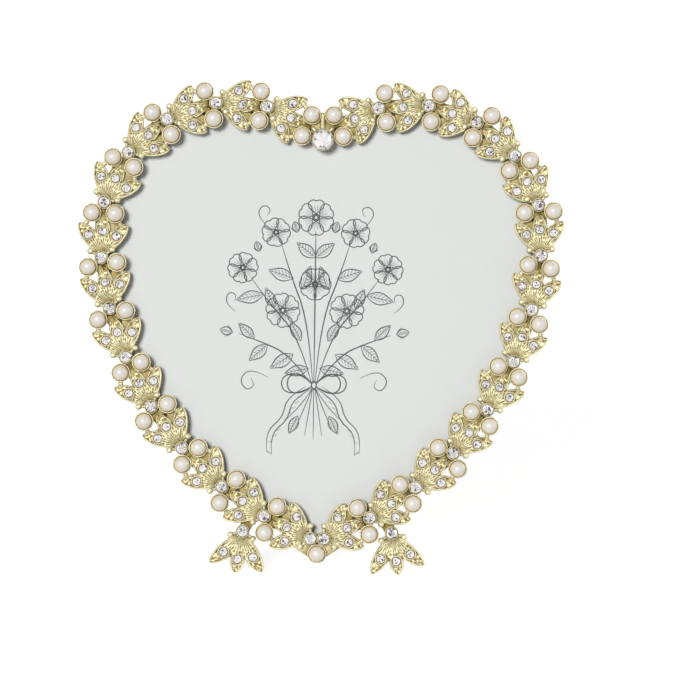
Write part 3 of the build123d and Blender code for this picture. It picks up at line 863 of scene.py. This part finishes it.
# pearls
pearlLook = {
    "radius": 2.0,
    "height": 2.35,
    "around": 36,
    "up": 22,
    "waver": 0.012,
    "waves": ((3, 1.2), (4, math.pi / 2 - 0.4), (3, 0.7)),  # number and start along each axis, in radians
    # the girdle's painted reflection of the gold cup fades out over this share
    "warming": (0.40, 0.95),  # share of the way up where the girdle's colour ends
}


def startPearls():
    bm = bmesh.new()
    bm.verts.layers.float.new("girdle")
    return bm


def pearlMesh(name):
    look = pearlLook
    bm = startPearls()
    girdle = bm.verts.layers.float.get("girdle")
    bmesh.ops.create_uvsphere(bm, u_segments=look["around"], v_segments=look["up"], radius=look["radius"])
    for vert in bm.verts:
        # a slow wave, so that no pearl is quite round
        out = vert.co.normalized()
        wave = math.prod(math.sin(number * c + start) for c, (number, start) in zip(out, look["waves"]))
        vert.co = out * (look["radius"] - look["waver"] * (1 + wave) / 2)
        # painted reflection of the gold cup, with a warmer nacre, towards the cup
        vert[girdle] = 1 - rise(out.z, *look["warming"])
    smoothFaces(bm)
    return meshFrom(name, bm)


def addStones(bm, mesh, spots, lift=0.0, fullTurn=2 * math.pi):
    for spot in spots:
        addCopy(bm, mesh, faceMatrix(spot.x, spot.y, lift, dice.uniform(0, fullTurn)))


def putPearls(name, spots, nodeName):
    bm = startPearls()
    addStones(bm, roundPearl, spots, pearlLook["height"])
    return putPiece(name, bm, pearlLustre, instead=[nodeName])


roundPearl = pearlMesh("roundPearl")
for hand in hands:
    putPearls("pearls" + hand.capitalize(), [p for s in sprigs[hand] for p in s["pearls"]], "pearls_" + hand)
putPearls("pointPearl", spotsOf("point_pearl"), "point_pearl")

# crystals: shares of the stone's own size, apart from the floor of its seat and its foil
crystalLook = {
    "table": 0.58,
    "star": 0.80,
    "starHeight": 0.62,
    "crown": 0.20,
    "girdle": 0.02,
    "pavilion": 0.42,
    "floor": 0.39,
    "culet": 0.1,
    "arrow": 18.0,
    "arrowShare": 0.7,
    "facetMerge": 2.0,
    "level": 0.99,
    "foilLap": 0.03,
    "foilDrop": 0.13,
    "foilDepth": 0.26,
    "foilSteps": 20,
    "footTurn": 6.0,  # radians, the range in which a foot's stones are turned
}
stoneLook = {
    "jointStone": {"width": 3.0, "bright": 0.96, "foilShadow": 1.01, "sides": 8, "arrows": True},
    "leafStone": {"width": 2.2, "bright": 0.94, "foilShadow": 1.09, "sides": 8, "arrows": False},
    "cleftStone": {"width": 5.34, "bright": 0.98, "foilShadow": 1.0, "sides": 14, "arrows": False},
}
foilShadowCut, crownCut, tableCut, arrowCut = 0, 1, 2, 3
facetLook = {
    # the painted reflection of the facets of a cut, from and to, and the share of them painted dark
    "joint": {tableCut: (0.90, 1.0, 0.12), arrowCut: (0.45, 0.9, 0.88), crownCut: (0.86, 1.0, 0.15)},
    "cleft": {tableCut: (0.70, 1.0, 0.0), crownCut: (0.70, 1.0, 0.06)},
    "leaf": {tableCut: (0.56, 1.0, 0.19), arrowCut: (0.5, 0.9, 0.5), crownCut: (0.82, 1.0, 0.16)},
    "dark": (0.0, 0.10),
    "foilShadow": (0.02, 0.30),
}


def startStones():
    bm = bmesh.new()
    bm.faces.layers.int.new("cut")
    return bm


def cutMesh(name, width, girdle, bright, sides, arrows):
    look = crystalLook
    radius = width / 2
    step = 2 * math.pi / sides
    crown, thin = look["crown"] * width, look["girdle"] * width
    rings = (
        (look["table"], girdle + crown, 0.5, 2 * sides if arrows else sides),
        (look["star"], girdle + look["starHeight"] * crown, 0.0, sides),
        (bright, girdle + thin, 0.5, 2 * sides),
        (bright, girdle - thin, 0.5, 2 * sides),
        (look["culet"], look["floor"], 0.5, sides),
    )
    bm = startStones()
    cut = bm.faces.layers.int.get("cut")
    for share, height, offset, count in rings:
        place = Matrix.Translation((0, 0, height)) @ Matrix.Rotation(offset * step, 4, "Z")
        bmesh.ops.create_circle(bm, segments=count, radius=radius * share, matrix=place)
    if arrows:
        # every other corner of the table moves, so that narrow sectors lie between wide ones
        corners = list(bm.verts)[1:2 * sides:2]
        narrow = Matrix.Rotation(math.radians(look["arrow"]) - step / 2, 4, "Z")
        bmesh.ops.transform(bm, matrix=narrow, verts=corners)
    bmesh.ops.delete(bm, geom=bm.edges[:], context="EDGES_FACES")
    bmesh.ops.convex_hull(bm, input=bm.verts[:])
    bmesh.ops.dissolve_limit(bm, angle_limit=math.radians(look["facetMerge"]), verts=bm.verts[:],
                             edges=bm.edges[:])
    for face in bm.faces:
        face[cut] = crownCut if face.normal.z > 0 else foilShadowCut
    table = [f for f in bm.faces if f.normal.z > look["level"]]
    sectors = bmesh.ops.poke(bm, faces=table)["faces"]
    widest = max(f.calc_area() for f in sectors)
    for face in sectors:
        face[cut] = arrowCut if face.calc_area() < look["arrowShare"] * widest else tableCut
    bmesh.ops.recalc_face_normals(bm, faces=bm.faces[:])
    return meshFrom(name, bm)


def foilShadowMesh(name, inner, outer, height):
    # dark ring of foil and painted shadow round a stone
    bm = startStones()
    drop, depth = crystalLook["foilDrop"], crystalLook["foilDepth"]
    corners = ((inner, height), (outer, height - drop), (outer, height - depth), (inner, height - depth))
    line = [bm.verts.new((radius, 0, level)) for radius, level in corners]
    edges = [bm.edges.new(pair) for pair in zip(line, line[1:] + line[:1])]
    spinRound(bm, line, edges, crystalLook["foilSteps"])
    return meshFrom(name, bm)


def crystalMesh(name, width, bright, foilShadow, sides, arrows):
    girdle = crystalLook["floor"] + crystalLook["pavilion"] * width
    inner = (bright - crystalLook["foilLap"]) * width / 2
    bm = startStones()
    addCopy(bm, cutMesh(name + "Cut", width, girdle, bright, sides, arrows))
    addCopy(bm, foilShadowMesh(name + "Foil", inner, foilShadow * width / 2, girdle))
    return meshFrom(name, bm)


def putCrystals(name, bm, kind, nodeName):
    shade = bm.faces.layers.float.new("facetReflection")
    cut = bm.faces.layers.int.get("cut")
    for face in bm.faces:
        if face[cut] == foilShadowCut:
            face[shade] = dice.uniform(*facetLook["foilShadow"])
            continue
        low, high, darkShare = facetLook[kind][face[cut]]
        dark = dice.random() < darkShare
        face[shade] = dice.uniform(*facetLook["dark"]) if dark else dice.uniform(low, high)
    return putPiece(name, bm, crystalFacets, instead=[nodeName])


def setCrystals(name, spots, kind, nodeName):
    bm = startStones()
    addStones(bm, cutStones[kind + "Stone"], spots)
    return putCrystals(name, bm, kind, nodeName)


def setFootCrystals():
    bm = startStones()
    for foot in feet.values():
        addStones(bm, cutStones["jointStone"], [foot["joint"]], fullTurn=crystalLook["footTurn"])
        addStones(bm, cutStones["leafStone"], foot["stones"], fullTurn=crystalLook["footTurn"])
    return putCrystals("footCrystals", bm, "leaf", "foot_crystals")


cutStones = {name: crystalMesh(name, **look) for name, look in stoneLook.items()}
for hand in hands:
    side = hand.capitalize()
    joints = [s["joint"] for s in sprigs[hand]]
    leaves = [p for s in sprigs[hand] for p in s["stones"]]
    setCrystals("jointCrystals" + side, joints, "joint", "joint_crystals_" + hand)
    setCrystals("leafCrystals" + side, leaves, "leaf", "leaf_crystals_" + hand)
setCrystals("cleftCrystal", spotsOf("cleft_crystal"), "cleft", "cleft_crystal")
setFootCrystals()
print("stones set")

# glass, card and boards: one grain gives each its two colours, its gloss and, for some, its bump
glassFinish = {"grain": (40.0, 2.0), "colours": ((0.40, 0.45, 0.43), (0.46, 0.51, 0.49)),
               "roughness": (0.02, 0.05), "more": {"Alpha": 0.05}}
cardFinish = {"grain": (2600.0, 4.0, 0.65), "colours": ((0.81, 0.82, 0.81), (0.835, 0.845, 0.83)),
              "roughness": (0.55, 0.75), "bump": (0.08, 0.00003), "more": {"Specular IOR Level": 0.12}}
inkFinish = {"grain": (1800.0, 3.0), "colours": ((0.035, 0.037, 0.04), (0.09, 0.09, 0.095)),
             "roughness": (0.5, 0.7)}
fillerFinish = {"grain": (1400.0, 5.0, 0.7), "colours": ((0.52, 0.44, 0.32), (0.60, 0.52, 0.40)),
                "roughness": (0.7, 0.9), "bump": (0.3, 0.00008)}
boardFinish = {"grain": (1400.0, 5.0, 0.7), "colours": ((0.20, 0.165, 0.12), (0.30, 0.255, 0.19)),
               "roughness": (0.7, 0.9), "bump": (0.3, 0.00008)}


def grainedMaterial(name, look):
    material, tree, shader = startMaterial(name)
    grain = objectNoise(tree, *look["grain"])
    wire(tree, shader, {
        "Base Color": mixColour(tree, grain, *look["colours"]),
        "Roughness": rangeNode(tree, grain, *look["roughness"]),
        **look.get("more", {}),
    })
    if "bump" in look:
        wire(tree, shader, {"Normal": bumpFrom(tree, grain, *look["bump"])})
    return material


repaint("glass", grainedMaterial("clearGlass", glassFinish))
repaint("filler_board", grainedMaterial("fillerCard", fillerFinish))
pressedBoard = grainedMaterial("pressedBoard", boardFinish)
for name in ("back_board", "strut_board"):
    repaint(name, pressedBoard)
repaint("rim", rimGold)

# the card, a little lower than its node so that the drawing fits under the glass
cardLook = {"drop": 0.06, "inkLift": 0.006, "inkDepth": 0.028, "pen": 0.145, "middle": (-1.4, 0.0)}


def buildCard():
    bm = mergedCopy("photo_card")
    heights = [toFace(v.co).z for v in bm.verts]
    middle = (min(heights) + max(heights)) / 2
    front = [v for v, z in zip(bm.verts, heights) if z > middle]
    bmesh.ops.translate(bm, verts=front, vec=faceOut * (-cardLook["drop"] * mm))
    for face in bm.faces:
        face.smooth = False
    putPiece("printedCard", bm, grainedMaterial("printedCard", cardFinish), instead=["photo_card"])
    return max(heights) - cardLook["drop"]


cardFront = buildCard()

# a tied spray of garden stems: a tall middle stem, three pairs beside it, loose tails under the bow
# a flower is its place, bearing, radius and petals; a bud its place, bearing and size; a leaf also its width
sprayLook = {
    "mainStem": ((0, -14), (0, 4), (0, 17), (0, 25)),
    "stems": (((0.3, -14), (1.6, 2), (6.5, 14), (9.0, 22.5)),
              ((0.6, -14), (4.0, -2), (11.5, 6.0), (16.5, 13.0)),
              ((0.9, -14), (6.0, -7), (13.5, -3.5), (19.5, -1.5))),
    "flowers": ((0, 28.5, 90, 4.6, 6), (10.2, 24.6, 62, 3.6, 5), (18.6, 15.4, 44, 3.9, 6),
                (8.2, 4.6, 20, 4.4, 6), (0, 11.4, 90, 4.0, 5)),
    "buds": ((21.0, -1.2, 12, 3.4), (4.8, 24.6, 76, 3.0), (14.4, 19.6, 70, 2.8)),
    "leaves": ((0, 18.2, 38, 6.2, 2.8), (5.6, 12.8, 18, 6.8, 3.0), (3.2, 10.0, 108, 6.4, 2.6),
               (10.4, 5.2, 66, 5.6, 2.4), (13.2, 8.6, -12, 7.2, 3.0), (12.0, -4.2, -42, 6.4, 2.8),
               (15.4, -2.8, 44, 5.8, 2.4), (5.4, -6.6, -32, 7.0, 3.0), (3.4, -3.2, 60, 5.8, 2.4),
               (1.4, -10.2, -12, 6.4, 2.6), (4.0, -22.4, -64, 5.2, 2.2)),
    "bow": ((3.6, -11.2), (8.4, -12.2), (8.2, -16.2), (3.8, -16.8)),
    "bowSizes": (1.0, 0.82),
    "bowEnds": ((0.4, -14.2), (0.4, -14.8)),
    "knot": ((0, -15.6), (1.3, -14.6), (0, -13.4)),
    "mainCut": ((0, -15.4), (0, -21), (0, -28.4)),
    "cutFrom": (0.3, -15.2),
    "cutBend": (0.45, -20.0),  # share of a stem's spread, and its height
    "cutEnds": ((2.2, -27.5), (4.8, -26.0), (7.2, -23.6)),
    "tail": ((0.6, -15.4), (5.6, -18.2), (6.4, -23.4), (11.2, -27.2), (10.6, -32.4)),
    "tailNotch": ((11.5, -31.3), (12.0, -31.9)),
    "tailWidth": (1.5, 0.5),
    "tailNarrowing": 0.05,
    "shading": ((0.4, 0.7), (1.0, 0.2), (1.7, 0.1)),
    "shadingFrom": (1.4, -16.4),
    "shadingStep": (0.94, -1.44),
    "shadingCount": 9,
    "curls": (((11.8, -12.6), (16.0, -10.2), (19.2, -13.0), (17.4, -16.2), (14.8, -14.6), (16.2, -12.9)),
              ((20.4, 4.2), (23.0, 6.0), (22.4, 9.2), (19.9, 8.6), (20.6, 6.8)),
              ((12.6, 26.2), (15.4, 29.0), (13.6, 31.8), (11.2, 30.4), (12.6, 28.8))),
}
# how heavy each kind of line is, and how thin lines are at their start and end
penWeight = {"outline": 1.0, "leafMiddle": 0.8, "vein": 0.6, "petal": 0.9, "ray": 0.55, "fold": 0.6,
             "mainStem": 1.3, "stem": 1.2, "bow": 1.1, "knot": 1.2, "cutStem": 1.1, "notch": 0.9,
             "shading": 0.5, "curl": 0.9}
penEnds = {"tapered": (0.45, 0.35), "blunt": (0.8, 0.8), "knot": (0.9, 0.9), "even": (1, 1)}
penFull = (0.3, 0.65)  # share of a line where it has its full weight
# outlines along a length of 1 and across a width of 1
leafSide = ((0, 0), (0.22, 0.45), (0.55, 0.55), (0.85, 0.18), (1, 0))
leafMiddle = ((0, 0), (0.5, 0.04), (0.93, 0))
petalHalf = ((0.2, 0), (0.5, 0.75), (0.85, 0.85), (1.02, 0.28), (0.9, 0))
petalOutline = petalHalf + tuple((x, -y) for x, y in petalHalf[-2::-1])
petalRay = ((0.24, 0.3), (0.45, 0.9), (0.68, 1.4))
budSide = ((0, 0), (0.35, 0.36), (0.8, 0.22), (1, 0))
budCup = ((0, 0), (0.2, 0.3), (0.5, 0.42))
budFold = ((0.1, 0.5), (0.5, 1.0), (0.9, 0.3))
eyeRing = tuple((math.cos(k * math.pi / 4), math.sin(k * math.pi / 4)) for k in range(10))
# shares of a leaf's or a flower's size: the veins, the rays on a petal, the eye, the folds of a bud
veinLook = {"count": 6, "step": 2 / 15, "spread": 0.5, "early": 0.1, "bluntness": 0.8, "sides": (0.92, -0.6),
            "bend": 0.06, "slant": 0.15}
flowerLook = {"petalWidth": 0.95, "rays": (-0.35, -0.12, 0.12, 0.35), "eyes": (0.2, 0.12)}
budFolds = (-0.12, 0.0, 0.12)
penStrokes = []


def penLine(points, kind="outline", ends="tapered"):
    # a drawn line, thinner at its ends; each line has its twin on the other side of the middle
    first, last = penEnds[ends]
    onMiddle = all(abs(x) < castWeld for x, _ in points)
    for mirror in (1,) if onMiddle else (1, -1):
        line = []
        for index, (x, y) in enumerate(points):
            share = index / (len(points) - 1)
            fade = first + (1 - first) * rise(share, 0, penFull[0])
            fade *= last + (1 - last) * (1 - rise(share, penFull[1], 1.0))
            line.append((x * mirror, y, penWeight[kind] * fade))
        penStrokes.append(line)


def penShape(shape, x, y, degrees, length, width, kind="outline", ends="tapered"):
    c, s = math.cos(math.radians(degrees)), math.sin(math.radians(degrees))
    points = [(px * length, py * width) for px, py in shape]
    penLine([(x + px * c - py * s, y + px * s + py * c) for px, py in points], kind, ends)


def drawLeaf(x, y, degrees, length, width):
    for mirror in (1, -1):
        penShape(leafSide, x, y, degrees, length, mirror * width)
    penShape(leafMiddle, x, y, degrees, length, width, "leafMiddle")
    for k in range(1, veinLook["count"] + 1):
        t = k * veinLook["step"]
        swelling = math.sin(math.pi * min(1.0, t + veinLook["early"])) ** veinLook["bluntness"]
        for side in veinLook["sides"]:
            out = veinLook["spread"] * swelling * side
            vein = ((t, 0), (t + veinLook["bend"], out / 2), (t + veinLook["slant"], out))
            penShape(vein, x, y, degrees, length, width, "vein")


def drawFlower(x, y, degrees, radius, petals):
    width = radius * math.tan(math.pi / petals) * flowerLook["petalWidth"]
    for k in range(petals):
        bearing = degrees + k * 360 / petals
        penShape(petalOutline, x, y, bearing, radius, width, "petal", "blunt")
        for tilt in flowerLook["rays"]:
            penShape(petalRay, x, y, bearing, radius, tilt * width, "ray")
    for share in flowerLook["eyes"]:
        penShape(eyeRing, x, y, 0, radius * share, radius * share, ends="even")


def drawBud(x, y, degrees, size):
    for mirror in (1, -1):
        penShape(budSide, x, y, degrees, size, mirror * size)
        penShape(budCup, x, y, degrees, size, mirror * size)
    for tilt in budFolds:
        penShape(budFold, x, y, degrees, size, tilt * size, "fold")


def drawRibbon():
    # bow and knot, the cut stems under them, and the two tails with their shading
    look = sprayLook
    for size in look["bowSizes"]:
        loop = [(x * size, y) for x, y in look["bow"]]
        penLine([look["bowEnds"][0], *loop, look["bowEnds"][1]], "bow", "blunt")
    penLine(look["knot"], "knot", "knot")
    bendShare, bendHeight = look["cutBend"]
    for x, y in look["cutEnds"]:
        penLine([look["cutFrom"], (x * bendShare, bendHeight), (x, y)], "cutStem")
    penLine(look["mainCut"], "cutStem")
    tail = look["tail"]
    penLine(tail)
    wide, up = look["tailWidth"]
    penLine([(x + wide * (1 - k * look["tailNarrowing"]), y + up) for k, (x, y) in enumerate(tail)])
    penLine([tail[-1], *look["tailNotch"]], "notch")
    for k in range(1, look["shadingCount"] + 1):
        x, y = (first + k * step for first, step in zip(look["shadingFrom"], look["shadingStep"]))
        penLine([(x + dx, y + dy) for dx, dy in look["shading"]], "shading")


def drawSpray():
    penLine(sprayLook["mainStem"], "mainStem")
    for stem in sprayLook["stems"]:
        penLine(stem, "stem")
    for flower in sprayLook["flowers"]:
        drawFlower(*flower)
    for bud in sprayLook["buds"]:
        drawBud(*bud)
    for leaf in sprayLook["leaves"]:
        drawLeaf(*leaf)
    drawRibbon()
    for curl in sprayLook["curls"]:
        penLine(curl, "curl")


def penMesh():
    # the lines as thin round strokes in the plane of the card
    curve = bpy.data.curves.new("spray", "CURVE")
    curve.dimensions = "3D"
    curve.bevel_depth = cardLook["pen"]
    curve.bevel_resolution = 0
    curve.resolution_u = 4
    curve.use_fill_caps = True
    for line in penStrokes:
        spline = curve.splines.new("NURBS")
        spline.points.add(len(line) - 1)
        for point, (x, y, weight) in zip(spline.points, line):
            point.co = (x, y, 0, 1)
            point.radius = weight
        spline.order_u = 3
        spline.use_endpoint_u = True
    drawn = bpy.data.objects.new("spray", curve)
    scene.collection.objects.link(drawn)
    bpy.context.view_layer.update()
    mesh = bpy.data.meshes.new_from_object(drawn.evaluated_get(bpy.context.evaluated_depsgraph_get()))
    bpy.data.objects.remove(drawn)
    return mesh


def buildDrawing():
    drawSpray()
    x, y = cardLook["middle"]
    height = cardFront + cardLook["inkDepth"] / 2 + cardLook["inkLift"]
    flat = Matrix.Diagonal((1, 1, cardLook["inkDepth"] / (2 * cardLook["pen"]), 1))
    bm = bmesh.new()
    addCopy(bm, penMesh(), faceMatrix(x, ringMiddle.y + y, height) @ flat)
    bmesh.ops.recalc_face_normals(bm, faces=bm.faces[:])
    return putPiece("cardDrawing", bm, grainedMaterial("printedInk", inkFinish))


buildDrawing()
print("card drawn:", len(penStrokes), "lines")

# velvet, hinge, buttons and screws
velvetLook = {
    "deep": (0.20, 0.155, 0.085),
    "high": (0.47, 0.385, 0.25),
    "sheen": (1.0, 0.90, 0.68),
    "pile": (4200.0, 3.0, 0.7),
    "pileShare": 0.35,
    "nap": (1300.0, 2.0, 0.6),
    "napTone": (-0.45, 0.75),
    "brushing": (60.0, 2.0),
    "brushedTone": (-0.15, 0.75),
    "roughness": (0.8, 1.0),
    "bump": (0.5, 0.00012),
    "edge": 0.18,
    "level": 0.999,
}


def velvetMaterial():
    look = velvetLook
    material, tree, shader = startMaterial("shortVelvet")
    pile = objectNoise(tree, *look["pile"])
    nap = rangeNode(tree, objectNoise(tree, *look["nap"]), *look["napTone"])
    brushed = rangeNode(tree, objectNoise(tree, *look["brushing"]), *look["brushedTone"])
    tone = mathNode(tree, "ADD", mathNode(tree, "MULTIPLY", pile, look["pileShare"]), nap)
    tone = mathNode(tree, "ADD", tone, brushed, clamp=True)
    wire(tree, shader, {
        "Base Color": mixColour(tree, tone, look["deep"], look["high"]),
        "Roughness": rangeNode(tree, pile, *look["roughness"]),
        "Normal": bumpFrom(tree, pile, *look["bump"]),
        "Sheen Weight": 0.6,
        "Sheen Roughness": 0.35,
        "Sheen Tint": look["sheen"],
    })
    return material


shortVelvet = velvetMaterial()
# a copy of a node with its keen edges broken; faces past a few square millimetres stay flat
easedLook = {"flatFrom": 2.5, "facetMerge": 1.5, "keen": 40, "segments": 2, "crease": 35}


def easedCopy(name, nodeName, material, slot, body, width):
    look = easedLook
    bm = mergedCopy(nodeName)
    bmesh.ops.dissolve_limit(bm, angle_limit=math.radians(look["facetMerge"]), verts=bm.verts[:],
                             edges=bm.edges[:])
    keen = math.radians(look["keen"])
    edges = [e for e in bm.edges if len(e.link_faces) == 2 and e.calc_face_angle() > keen]
    roundEdges(bm, edges, width * mm, look["segments"])
    for face in bm.faces:
        face.smooth = face.calc_area() < look["flatFrom"] * mm ** 2
    bmesh.ops.triangulate(bm, faces=[f for f in bm.faces if len(f.verts) > 4])
    return putPiece(name, bm, material, body=body, instead=[nodeName], sharpAngle=look["crease"])


def buildVelvet(name, nodeName, body):
    # the cut size is read from the outer face, which looks to the back
    bm = mergedCopy(nodeName)
    widest = max((f for f in bm.faces if f.normal.y > 0), key=lambda f: f.calc_area())
    outward = widest.normal.copy()
    outer = [f for f in bm.faces if f.normal.dot(outward) > velvetLook["level"]]
    area = sum(f.calc_area() for f in outer)
    bm.free()
    piece = easedCopy(name, nodeName, shortVelvet, "velvet", body, velvetLook["edge"])
    return piece


buildVelvet("backVelvet", "back_velvet", "frame")
buildVelvet("strutVelvet", "strut_velvet", "strut")

# each metal part with its node, finish, slot and body, and the width of its broken edges
metalParts = (
    ("frameHinge", "frame_hinge_plate", hingeBrass, "hinge_brass", "frame", 0.08),
    ("strutHinge", "strut_hinge_plate", hingeBrass, "hinge_brass", "strut", 0.08),
    ("hingePin", "hinge_pin", screwMetal, "screw_steel", "frame", 0.08),
    ("frameRivets", "frame_hinge_rivets", hingeBrass, "hinge_brass", "frame", 0.2),
    ("strutRivets", "strut_hinge_rivets", hingeBrass, "hinge_brass", "strut", 0.2),
    ("buttonScrews", "button_screws", screwMetal, "screw_steel", "frame", 0.12),
)
buttonCount, buttonEdge = 4, 0.15
for part in metalParts:
    easedCopy(*part)
for number in range(1, buttonCount + 1):
    node = f"turn_button_{number}"
    easedCopy(f"turnButton{number}", node, hingeBrass, "hinge_brass", node, buttonEdge)
print("back, hinge and buttons finished")

# floor, light and camera
studioLook = {"floor": (0.70, 0.70, 0.70), "floorPale": (0.72, 0.72, 0.72), "floorCloud": (3.0, 1.0),
              "floorSize": 3.0, "floorLift": 0.80, "ambient": 0.05}
lampLook = {
    "keyLight": {"way": (-0.30, 0.18, 1.0), "power": 2.66, "soft": 18.0},
    "backLight": {"way": (0.45, 0.5, -1.0), "power": 1.15, "soft": 40.0},
    "sideLight": {"way": (1.0, 0.30, 0.12), "power": 0.8, "soft": 40.0},
}
viewLook = {"lens": 200.0, "sensor": 36.0, "field": 173.0, "middlePx": (319.5, 329.0), "imagePx": 676.0,
            "roll": 0.8, "clip": (0.01, 20.0)}  # the clip is in metres


def backdropRays(tree):
    rays = addNode(tree, "ShaderNodeLightPath").outputs
    seen = mathNode(tree, "MAXIMUM", rays["Is Camera Ray"], rays["Is Glossy Ray"])
    return mathNode(tree, "MAXIMUM", seen, rays["Is Transmission Ray"])


def buildFloor():
    bm = bmesh.new()
    bmesh.ops.create_grid(bm, x_segments=4, y_segments=4, size=studioLook["floorSize"])
    mesh = meshFrom("floor", bm)
    material, tree, shader = startMaterial("paleFloor")
    cloud = objectNoise(tree, *studioLook["floorCloud"])
    wire(tree, shader, {
        "Base Color": mixColour(tree, cloud, studioLook["floor"], studioLook["floorPale"]),
        "Roughness": 0.9,
        "Specular IOR Level": 0.1,
        "Emission Color": (1, 1, 1),
        "Emission Strength": mathNode(tree, "MULTIPLY", backdropRays(tree), studioLook["floorLift"]),
    })
    mesh.materials.append(material)
    floor = bpy.data.objects.new("floor", mesh)
    scene.collection.objects.link(floor)


def buildWorld():
    world = bpy.data.worlds.new("studio")
    world.use_nodes = True
    scene.world = world
    tree = world.node_tree
    wire(tree, tree.nodes["Background"], {
        "Color": (1, 1, 1),
        "Strength": rangeNode(tree, backdropRays(tree), studioLook["ambient"], 1.0),
    })


def buildLight(name, look):
    x, y, z = look["way"]
    way = (faceRight * x + faceUp * y + faceOut * z).normalized()
    sun = bpy.data.lights.new(name, "SUN")
    sun.energy = look["power"]
    sun.angle = math.radians(look["soft"])
    lamp = bpy.data.objects.new(name, sun)
    lamp.rotation_mode = "QUATERNION"
    lamp.rotation_quaternion = way.to_track_quat("Z", "Y")
    scene.collection.objects.link(lamp)


def buildCamera():
    # the ring's middle falls on the pixel where the photo has it
    perPx = viewLook["field"] / viewLook["imagePx"]
    half = viewLook["imagePx"] / 2
    x = ringMiddle.x + (half - viewLook["middlePx"][0]) * perPx
    y = ringMiddle.y - (half - viewLook["middlePx"][1]) * perPx
    cam = bpy.data.cameras.new("photoView")
    cam.lens = viewLook["lens"]
    cam.sensor_width = viewLook["sensor"]
    cam.sensor_fit = "HORIZONTAL"
    cam.clip_start, cam.clip_end = viewLook["clip"]
    distance = viewLook["field"] * mm * cam.lens / cam.sensor_width
    camera = bpy.data.objects.new("photoView", cam)
    place = faceMatrix(x, y, 0, math.radians(viewLook["roll"]))
    turned = (place.to_3x3() @ Matrix.Scale(1 / mm, 3)).to_4x4()
    camera.matrix_world = Matrix.Translation(place.translation + faceOut * distance) @ turned
    scene.collection.objects.link(camera)
    scene.camera = camera


buildFloor()
buildWorld()
for name, look in lampLook.items():
    buildLight(name, look)
buildCamera()
print("studio set")

bpy.context.view_layer.update()
